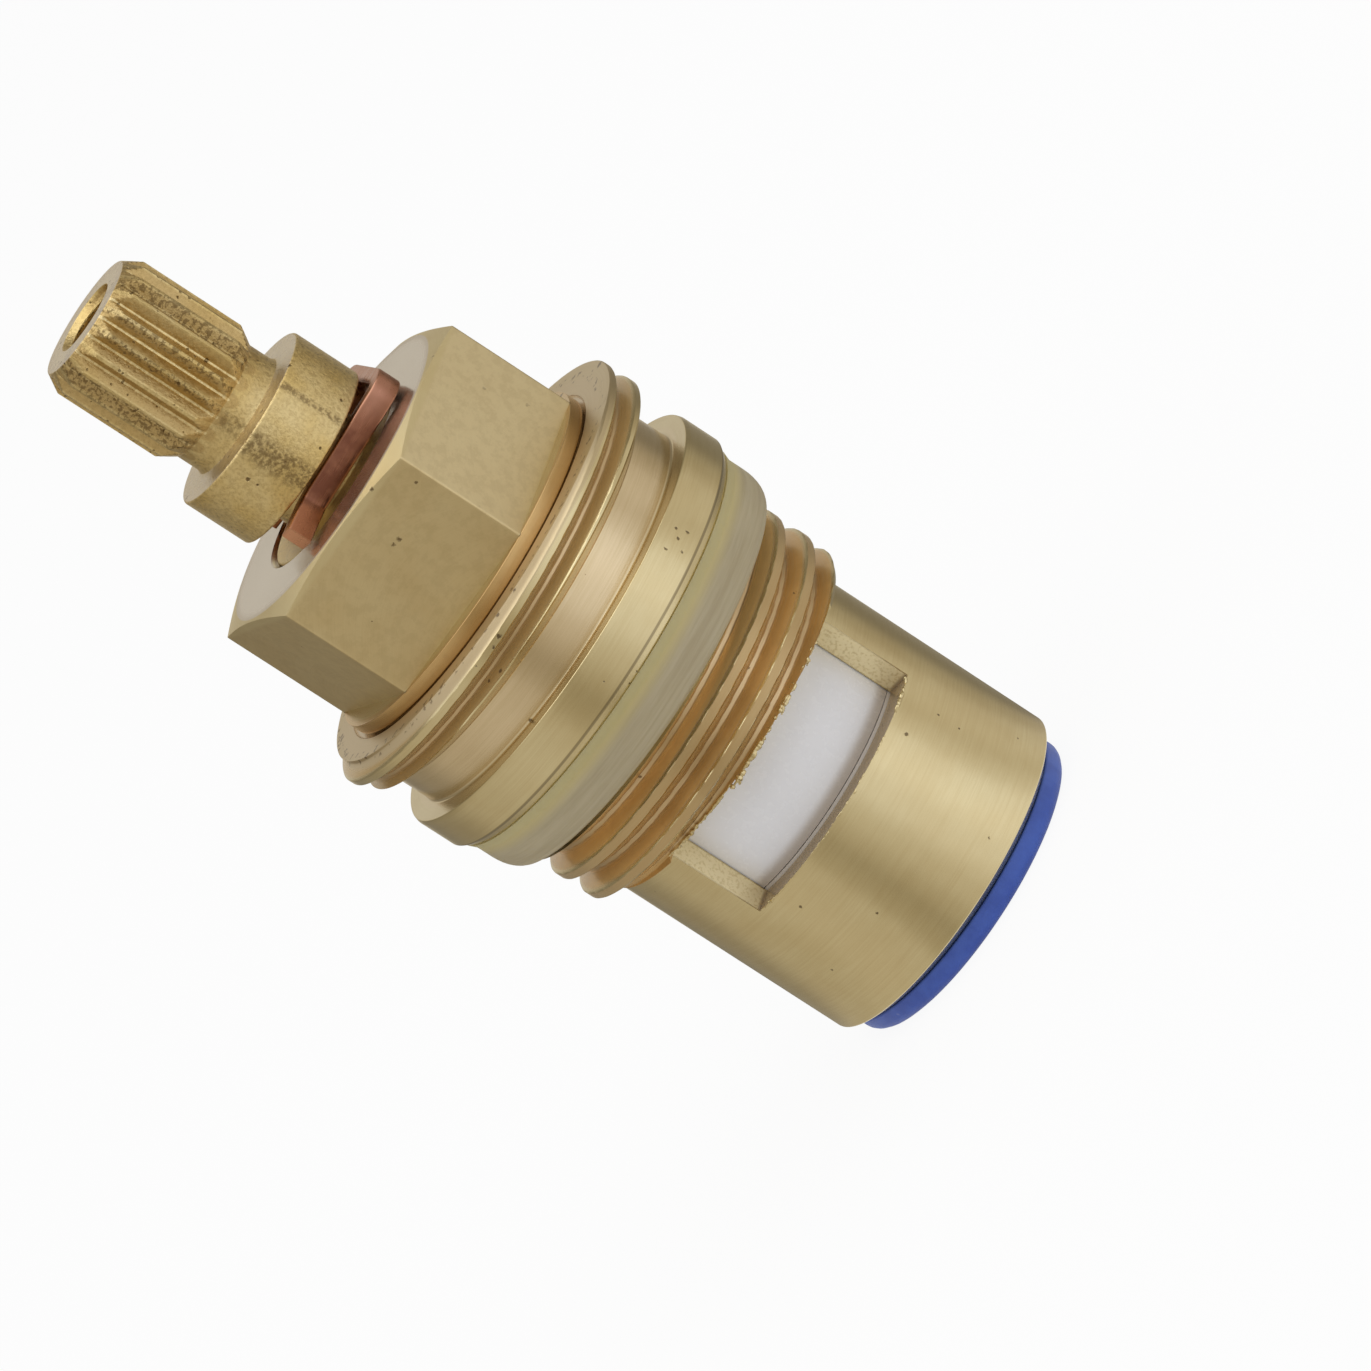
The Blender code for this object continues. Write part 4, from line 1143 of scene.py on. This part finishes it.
# --------------------------------------------------------------------------------------------------
# Base seal and its support ring. The seal is moulded in blue silicone, pushed into the sleeve's foot, and its
# rounded flange bears on the tap's seat. The stiff ring inside keeps it from collapsing inwards.
seal_corners = [
    # radius, height and edge radius in mm
    (7.62, 5.50, 0.12), (7.62, 1.25, 0.0), (8.45, 1.25, 0.10), (8.45, 0.0, 0.62), (5.60, 0.0, 0.25),
    (5.60, 0.90, 0.15), (6.52, 0.90, 0.0), (6.52, 5.50, 0.12),
]
support_corners = [(6.47, 5.50, 0.06), (6.47, 0.95, 0.06), (5.87, 0.95, 0.06), (5.87, 5.50, 0.06)]
ring_spacing = 0.6


def blue_rubber():
    """Matt blue silicone with a faint mottle and dust specks."""
    material, tree, position = new_finish("blue_rubber", (0.042, 0.098, 0.385), 0.5)
    cloud = ramp(noise(position, 700, 3.0), 0.35, 0.65)
    dust = place_group(tree, pits, Scale=1500.0, Share=0.02, Size=0.16)["Pit"]
    colour = mix(cloud, (0.046, 0.103, 0.47), (0.062, 0.134, 0.55))
    return finish(material, {
        "Base Color": stained(colour, ((dust, 0.5, (0.25, 0.30, 0.6)),)),
        "Normal": bump(noise(position, 5000, 2.0), 0.02, 0.3),
    })


def white_plastic():
    """Moulded off-white plastic with a faint grain."""
    material, _, position = new_finish("white_plastic", (0.76, 0.75, 0.70), 0.42)
    return finish(material, {
        "Base Color": mix(noise(position, 900, 3.0), (0.72, 0.71, 0.66), (0.80, 0.79, 0.74)),
        "Normal": bump(noise(position, 7000, 2.0), 0.01, 0.3),
    })


def round_piece(name, corners, material, steps=144):
    """A turned or moulded ring from its section's corners in mm."""
    section = rounded_outline(corners, ring_spacing)
    if sum(a[0] * b[1] - b[0] * a[1] for a, b in zip(section, np.roll(section, -1, axis=0))) > 0:
        section = section[::-1]
    radii, heights = (np.repeat(section[:, i:i + 1], steps, axis=1) for i in (0, 1))
    return ring_mesh(name, radii, heights, np.arange(steps) * 360 / steps, material=material)


seal = round_piece("blue_base_seal", seal_corners, blue_rubber())
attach(seal, "housing")
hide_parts("base_seal")

plastic = white_plastic()
support_ring = round_piece("white_support_ring", support_corners, plastic)
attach(support_ring, "housing")
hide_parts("support_ring")

# --------------------------------------------------------------------------------------------------
# Body washer. A ring of cream nylon, a little translucent, pressed up under the flange, that seals the body in
# the tap. Its upper edge creeps up the flange's bevel and is painted yellower, a painted glow of the brass
# behind it.
washer_low, washer_bore, washer_radius = 20.22, 9.35, 11.50
washer_round_wide, washer_round_high = 0.62, 1.35
washer_section = [(washer_bore, 22.59, 0.0), (11.25, 22.59, 0.0), (11.64, 23.10, 0.0), (11.70, 23.08, 0.0),
                  (washer_radius, 22.55, 0.3)]
for turn in np.linspace(0, 1, 9) * (math.pi / 2):
    washer_section.append((washer_radius - washer_round_wide * (1 - math.cos(turn)),
                           washer_low + washer_round_high * (1 - math.sin(turn)), 0.0))
washer_section.append((washer_bore, washer_low, 0.0))


def cream_nylon():
    """Translucent cream nylon with faint cloudy streaks round it, painted yellower by the flange for the glow
    of the brass behind.
    """
    material, tree, position = new_finish("cream_nylon", (0.62, 0.57, 0.43), 0.38)
    rings = place_group(tree, turning_marks, Marks_Per_Metre=2600.0, Waver=120.0)["Rings"]
    # painted glow: yellower towards the flange, for the brass that shows through
    painted_glow_by_flange = area((cylinder(position)[2], 21.8, 22.6))
    colour = mix(ramp(rings, 0.3, 0.7), (0.38, 0.31, 0.185), (0.47, 0.40, 0.255))
    return finish(material, {
        "Base Color": stained(colour, ((painted_glow_by_flange, 0.85, (0.56, 0.46, 0.20)),)),
        "Subsurface Weight": 0.35,
        "Subsurface Radius": (1.0, 0.85, 0.55),
        "Subsurface Scale": 1.2 * mm,
        "Normal": bump(rings, 0.03, 0.25),
    })


washer = round_piece("cream_body_washer", washer_section, cream_nylon())
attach(washer, "housing")
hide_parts("body_washer")

# --------------------------------------------------------------------------------------------------
# O-rings and thrust washer. Two greased black O-rings seal the spindle in the body's bore, and a slippery
# plastic washer lies between the spindle's flange and the body's shoulder. None of them shows from outside.
o_ring_middle, o_ring_half, o_ring_round = 4.375, 0.62, 0.99
o_ring_levels = (("o_ring_upper", "upper_o_ring", 27.30), ("o_ring_lower", "lower_o_ring", 22.30))
thrust_corners = [(6.12, 19.10, 0.05), (6.12, 18.35, 0.05), (5.05, 18.35, 0.05), (5.05, 19.10, 0.05)]
hidden_steps = 96


def black_rubber():
    """Greased black rubber."""
    material, _, position = new_finish("black_rubber", (0.022, 0.022, 0.023), 0.35)
    return finish(material, {"Roughness": ramp(noise(position, 1200, 3.0), 0.3, 0.7, 0.25, 0.5)})


rubber = black_rubber()
for name, node, level in o_ring_levels:
    square = [(o_ring_middle + across * o_ring_half, level + up * o_ring_half, o_ring_half * o_ring_round)
              for across, up in ((1, 1), (1, -1), (-1, -1), (-1, 1))]
    o_ring = round_piece(name, square, rubber, hidden_steps)
    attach(o_ring, "turning_spindle")
    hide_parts(node)
thrust = round_piece("thrust_ring", thrust_corners, plastic, hidden_steps)
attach(thrust, "turning_spindle")
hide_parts("thrust_washer")

# --------------------------------------------------------------------------------------------------
# Spindle. Turned from a rough brass bar and broached with 20 teeth for the handle, tapped M4 in its end, with
# a groove for the clip, two O-ring grooves, two stop wings and the tongue that turns the moving disc.
spline_teeth = 20
spline_radius, spline_root = 3.86, 3.38
spline_crest_at = -95.5
spline_low, spindle_top = 45.88, 53.48
spline_spacing, hole_spacing = 0.16, 0.07
tooth_lines = (-8.6, -8.1, -6.4, -4.6, -2.8, -1.2, -0.6, 0.6, 1.2, 2.8, 4.6, 6.4, 8.1, 8.6)
tooth_edge_angle = 24
spline_outside, spline_cut_low = 3.2, 45.68
tap_radius, tap_pitch, tap_depth = 1.65, 0.7, 0.36
tap_starts, tap_ends, tap_crest_at = 44.0, 53.6, 48.0
hole_low, hole_high, hole_wall = 46.5, 53.3, 1.5
wing_radius, wing_inner, wing_half, wing_low, wing_high = 7.3, 4.6, 28.0, 16.20, 18.30
tongue_half_wide, tongue_half_long, tongue_low, tongue_high = 1.8, 4.9, 13.80, 16.4
tongue_edge = 0.1
spindle_corners = [
    # radius, height and edge radius in mm, from the tapped hole down the outside and up inside
    (1.98, spindle_top, 0.04),
    (3.29, spindle_top, 0.10),
    (spline_radius, 52.54, 0.12),
    (spline_radius, 46.78, 0.12),
    (3.27, spline_low, 0.08),
    (3.27, 44.62, 0.0),
    (3.36, 44.41, 0.0),
    (3.57, 44.32, 0.0),
    (5.0, 44.32, 0.16),
    (5.0, 40.58, 0.12),
    (3.1, 40.58, 0.0),
    (3.1, 38.68, 0.0),
    (5.0, 38.68, 0.14),
    (5.0, 28.20, 0.05),
    (3.7, 28.20, 0.0),
    (3.7, 26.40, 0.0),
    (5.0, 26.40, 0.05),
    (5.0, 23.20, 0.05),
    (3.7, 23.20, 0.0),
    (3.7, 21.40, 0.0),
    (5.0, 21.40, 0.05),
    (5.0, 18.30, 0.0),
    (5.8, 18.30, 0.05),
    (5.8, 16.20, 0.05),
    (0.6, 16.20, 0.0),
    (0.6, 40.60, 0.0),
    (tap_radius, 41.50, 0.0),
    (tap_radius, 53.15, 0.05),
]


def spline_tree():
    """Cuts straight V grooves along Z into a round surface, evenly round it."""
    group, given = new_tree("cut_spline", "Teeth", "Crest Radius", "Root Radius", "First Crest", "Crest Share",
                            "Root Share", "Low")
    place = x, y, z, radius = cylinder(output_of(group, "GeometryNodeInputPosition"))
    turns = calc("ARCTAN2", y, x) / math.tau
    away = from_crest((turns - given["First Crest"] / 360.0) * given["Teeth"])
    groove = ramp(away, given["Crest Share"], 1.0 - given["Root Share"], smooth=False)
    floor_of_cut = given["Crest Radius"] - groove * (given["Crest Radius"] - given["Root Radius"])
    chosen = (z > given["Low"]) * (radius > given["Root Radius"] * 0.9)
    geometry = keep_cut_depth(given["Geometry"], groove * chosen)
    geometry = move_to_radius(geometry, chosen, place, calc("MINIMUM", radius, floor_of_cut))
    return finish_tree(group, geometry, given["Material"])


def spindle_brass():
    """Rough golden brass: gritty crests, dark pits, lathe rings on the neck and collar, with painted shade on
    the spline's flanks, painted highlights at its roots and a painted sheen on faces that face up.
    """
    material, tree, position = new_finish("spindle_brass", (0.66, 0.50, 0.22), 0.33, 1.0)
    x, y, level, radius = cylinder(position)
    cut = cut_depth(tree)
    bearing = calc("ARCTAN2", y, x) * (180 / math.pi)
    cloud = place_group(tree, turning_marks, Marks_Per_Metre=15000.0, Waver=160.0)["Cloud"]
    few = place_group(tree, pits, Scale=1900.0, Share=0.14, Size=0.24)["Pit"]
    many = place_group(tree, pits, Scale=2600.0, Share=0.30, Size=0.26)["Pit"]
    grit = noise(position, 5200, 4.0, 0.65)

    def by_bearing(middle, far, near, *ends):
        """A mask that fades from far to near degrees away from a bearing."""
        return ramp(abs(bearing + -middle), far, near, *ends)

    # where each finish and each painted light or shade lies, by bearing in degrees and by height and distance
    # from the axis in mm
    on_spline = area((level, 45.5, 46.2))
    specks = highest(few, many * (on_spline * 0.8))
    # painted shade: the spline's groove flanks are painted darker
    painted_shade_on_flank = ramp(cut, 0.06, 0.22) * ramp(cut, 0.97, 0.88)
    # painted highlight: a pale line along each groove's root, brightest round bearing -98
    painted_root_highlight = ramp(cut, 0.90, 0.97) * by_bearing(-98, 50, 30, 0.25, 0.85)
    rough_teeth = highest(by_bearing(-50, 12, 6), by_bearing(-141, 13.5, 5.4),
                          by_bearing(-79, 4.5, 1.8), by_bearing(-97, 4.5, 1.8))
    torn = rough_teeth * ramp(noise(position, 5200, 3.0, 0.65), 0.45, 0.57) * on_spline
    narrow, broad = by_bearing(-64, 3.4, 1.2), by_bearing(-103, 11, 5)
    on_neck = area((level, 44.4, 44.6), (level, 45.8, 45.5)) * broad * 0.7
    scored = highest(highest(narrow, broad) * area((radius, 4.9, 4.95)), on_neck) * area((level, 40.0, 40.4))
    scored = scored * ramp(noise(position, 4600, 4.0, 0.7), 0.42, 0.57, 0.10, 1.0)
    # painted sheen: faces that point up, from 44 mm upward, are painted a paler grey
    facing_up = parts_of(output_of(tree, "ShaderNodeNewGeometry", socket="Normal"))[2]
    painted_sheen_on_shoulder = ramp(facing_up, 0.85, 0.97) * area((level, 44.0, 44.3))

    colour = mix(ramp(cloud, 0.35, 0.65), (0.75, 0.60, 0.31), (0.70, 0.52, 0.215))
    colour = stained(colour, (
        (painted_shade_on_flank, 0.62, (0.50, 0.34, 0.14)),
        (painted_root_highlight, 1.0, (0.85, 0.70, 0.39)),
        (torn, 0.78, (0.16, 0.10, 0.04)),
        (ramp(grit, 0.38, 0.62, 0.38, 0), 1.0, (0.34, 0.23, 0.09)),
        (scored, 0.68, (0.16, 0.10, 0.045)),
        (painted_sheen_on_shoulder, 0.6, (0.66, 0.61, 0.55)),
        (specks, 0.8, (0.10, 0.055, 0.02)),
    ))
    return finish(material, {
        "Base Color": colour,
        "Roughness": ramp(grit, 0.3, 0.7, 0.26, 0.42),
        "Normal": bump(grit * 0.8 - specks, 0.07, 0.85),
    })


spindle_outline = rounded_outline(spindle_corners, outline_spacing)
spindle_outline = refine(spindle_outline, spline_low, spindle_top, spline_outside, spline_spacing)
spindle_outline = refine(spindle_outline, hole_low, hole_high, hole_wall, hole_spacing)
spindle_angles = np.array(sorted(
    within_turn(spline_crest_at + tooth * 360 / spline_teeth + line)
    for tooth in range(spline_teeth) for line in tooth_lines
))
spindle_r, spindle_z = (np.repeat(spindle_outline[:, i:i + 1], len(spindle_angles), axis=1) for i in (0, 1))
spindle_finish = spindle_brass()
spindle = ring_mesh("brass_spindle", spindle_r, spindle_z, spindle_angles, material=spindle_finish)
run_tree(spindle, spline_tree(), Teeth=float(spline_teeth), Crest_Radius=spline_radius * mm,
         Root_Radius=spline_root * mm, First_Crest=spline_crest_at, Crest_Share=0.13, Root_Share=0.09,
         Low=spline_cut_low * mm, Material=spindle_finish)
run_tree(spindle, cut_thread, Pitch=tap_pitch * mm, Low=tap_starts * mm, High=tap_ends * mm,
         Crest_Radius=tap_radius * mm, Depth=tap_depth * mm, Crest_Height=tap_crest_at * mm, Crest_Share=0.15,
         Root_Share=0.1, Roundness=0.3, Run_Out=run_out * mm, Side=-1.0, Material=spindle_finish)
sharpen(spindle, tooth_edge_angle)
tongue_loop = [(across * tongue_half_wide, along * tongue_half_long)
               for across, along in ((1, -1), (1, 1), (-1, 1), (-1, -1))]
ends = [plate("tongue", [tongue_loop], tongue_low, tongue_high, tongue_edge, spindle_finish)]
for middle in (45, 225):
    wing = sector(middle, wing_half, wing_radius, wing_inner, 24, 8)
    ends.append(plate(f"wing_{middle}", [wing], wing_low, wing_high, tongue_edge, spindle_finish))
join_into(spindle, ends)
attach(spindle, "turning_spindle")
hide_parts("spindle")

# --------------------------------------------------------------------------------------------------
# Retaining clip. A strip of copper-coloured phosphor bronze, bent to a U with its tips turned out, and pushed
# into the spindle's groove from the side, so that the spindle can't drop into the tap.
clip_level = 39.63
clip_high, clip_thick = 1.3, 0.9
clip_side, clip_back = 3.65, 5.15
clip_bend_x, clip_tip_x, clip_flare = -1.9, -3.8, 1.3
clip_short_tip, clip_short_flare = 0.6, 0.65
clip_bend_round, clip_edge_round = 1.0, 0.12
clip_edge_angle = 40


def rounded_curve(curve, radius, count):
    """A curve with its corners rounded by arcs of so many steps."""
    inputs = {"Curve": curve, "Radius": radius, "Count": count, "Limit Radius": True}
    return output_of(tree_of(curve), "GeometryNodeFilletCurve", inputs, mode="POLY")


def strip_tree():
    """Sweeps a rounded rectangle along a bent path."""
    group, given = new_tree("bent_strip", "Corner Radius", "Width", "Thickness", "Edge")
    inputs = {"Width": given["Thickness"], "Height": given["Width"]}
    section = output_of(group, "GeometryNodeCurvePrimitiveQuadrilateral", inputs)
    inputs = {"Curve": rounded_curve(given["Geometry"], given["Corner Radius"], 10),
              "Profile Curve": rounded_curve(section, given["Edge"], 3), "Fill Caps": True}
    return finish_tree(group, output_of(group, "GeometryNodeCurveToMesh", inputs), given["Material"])


def clip_copper():
    """Drawn copper-coloured strip: red-brown, with long draw marks, worn edges with a painted highlight on
    them, and painted highlights on the back bends, the flared tips and the long tip's end.
    """
    material, tree, position = new_finish("clip_copper", (0.50, 0.22, 0.14), 0.30, 1.0)
    stretched = output_of(tree, "ShaderNodeMapping", {"Vector": position, "Scale": (0.12, 1.0, 1.0)})
    drawn = noise(stretched, 5200, 3.0, 0.6)
    x, _, level = parts_of(position)
    upper, lower = clip_level + clip_high / 2, clip_level - clip_high / 2
    # rubbed edges, with a painted highlight along them
    worn_edge_highlight = (0.56, 0.29, 0.19)
    colour = mix(ramp(noise(position, 900, 3.0), 0.35, 0.65), (0.30, 0.13, 0.078), (0.19, 0.073, 0.044))
    colour = stained(colour, (
        (ramp(drawn, 0.4, 0.7), 0.35, (0.22, 0.09, 0.06)),
        # painted highlight: the back of the U and its bends are painted lighter
        (area((x, 2.4, 4.4)), 0.75, (0.50, 0.25, 0.17)),
        # painted light: the flared tips past the crease are painted a lighter orange-brown
        (area((x, -1.9, -2.3)), 0.8, (0.46, 0.19, 0.10)),
        # painted highlight: the end of the long tip is painted a bright orange
        (area((x, -3.50, -3.62)), 0.8, (0.80, 0.42, 0.26)),
        (area((level, upper - 0.16, upper - 0.04)), 0.5, worn_edge_highlight),
        (area((level, lower + 0.16, lower + 0.04)), 0.5, worn_edge_highlight),
    ))
    return finish(material, {
        "Base Color": colour,
        "Roughness": ramp(drawn, 0.3, 0.7, 0.24, 0.40),
        "Normal": bump(drawn, 0.02, 0.5),
    })


clip_path = [
    (clip_tip_x, -clip_side - clip_flare), (clip_bend_x, -clip_side), (clip_back, -clip_side),
    (clip_back, clip_side), (clip_bend_x, clip_side),
    (clip_tip_x + clip_short_tip, clip_side + clip_short_flare),
]
clip_line = [((x, y, clip_level), 1.0) for x, y in clip_path]
clip = curve_piece("copper_clip", [clip_line], strip_tree(), Corner_Radius=clip_bend_round * mm,
                   Width=clip_high * mm, Thickness=clip_thick * mm, Edge=clip_edge_round * mm,
                   Material=clip_copper())
sharpen(clip, clip_edge_angle)
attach(clip, "turning_spindle")
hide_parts("retaining_clip")
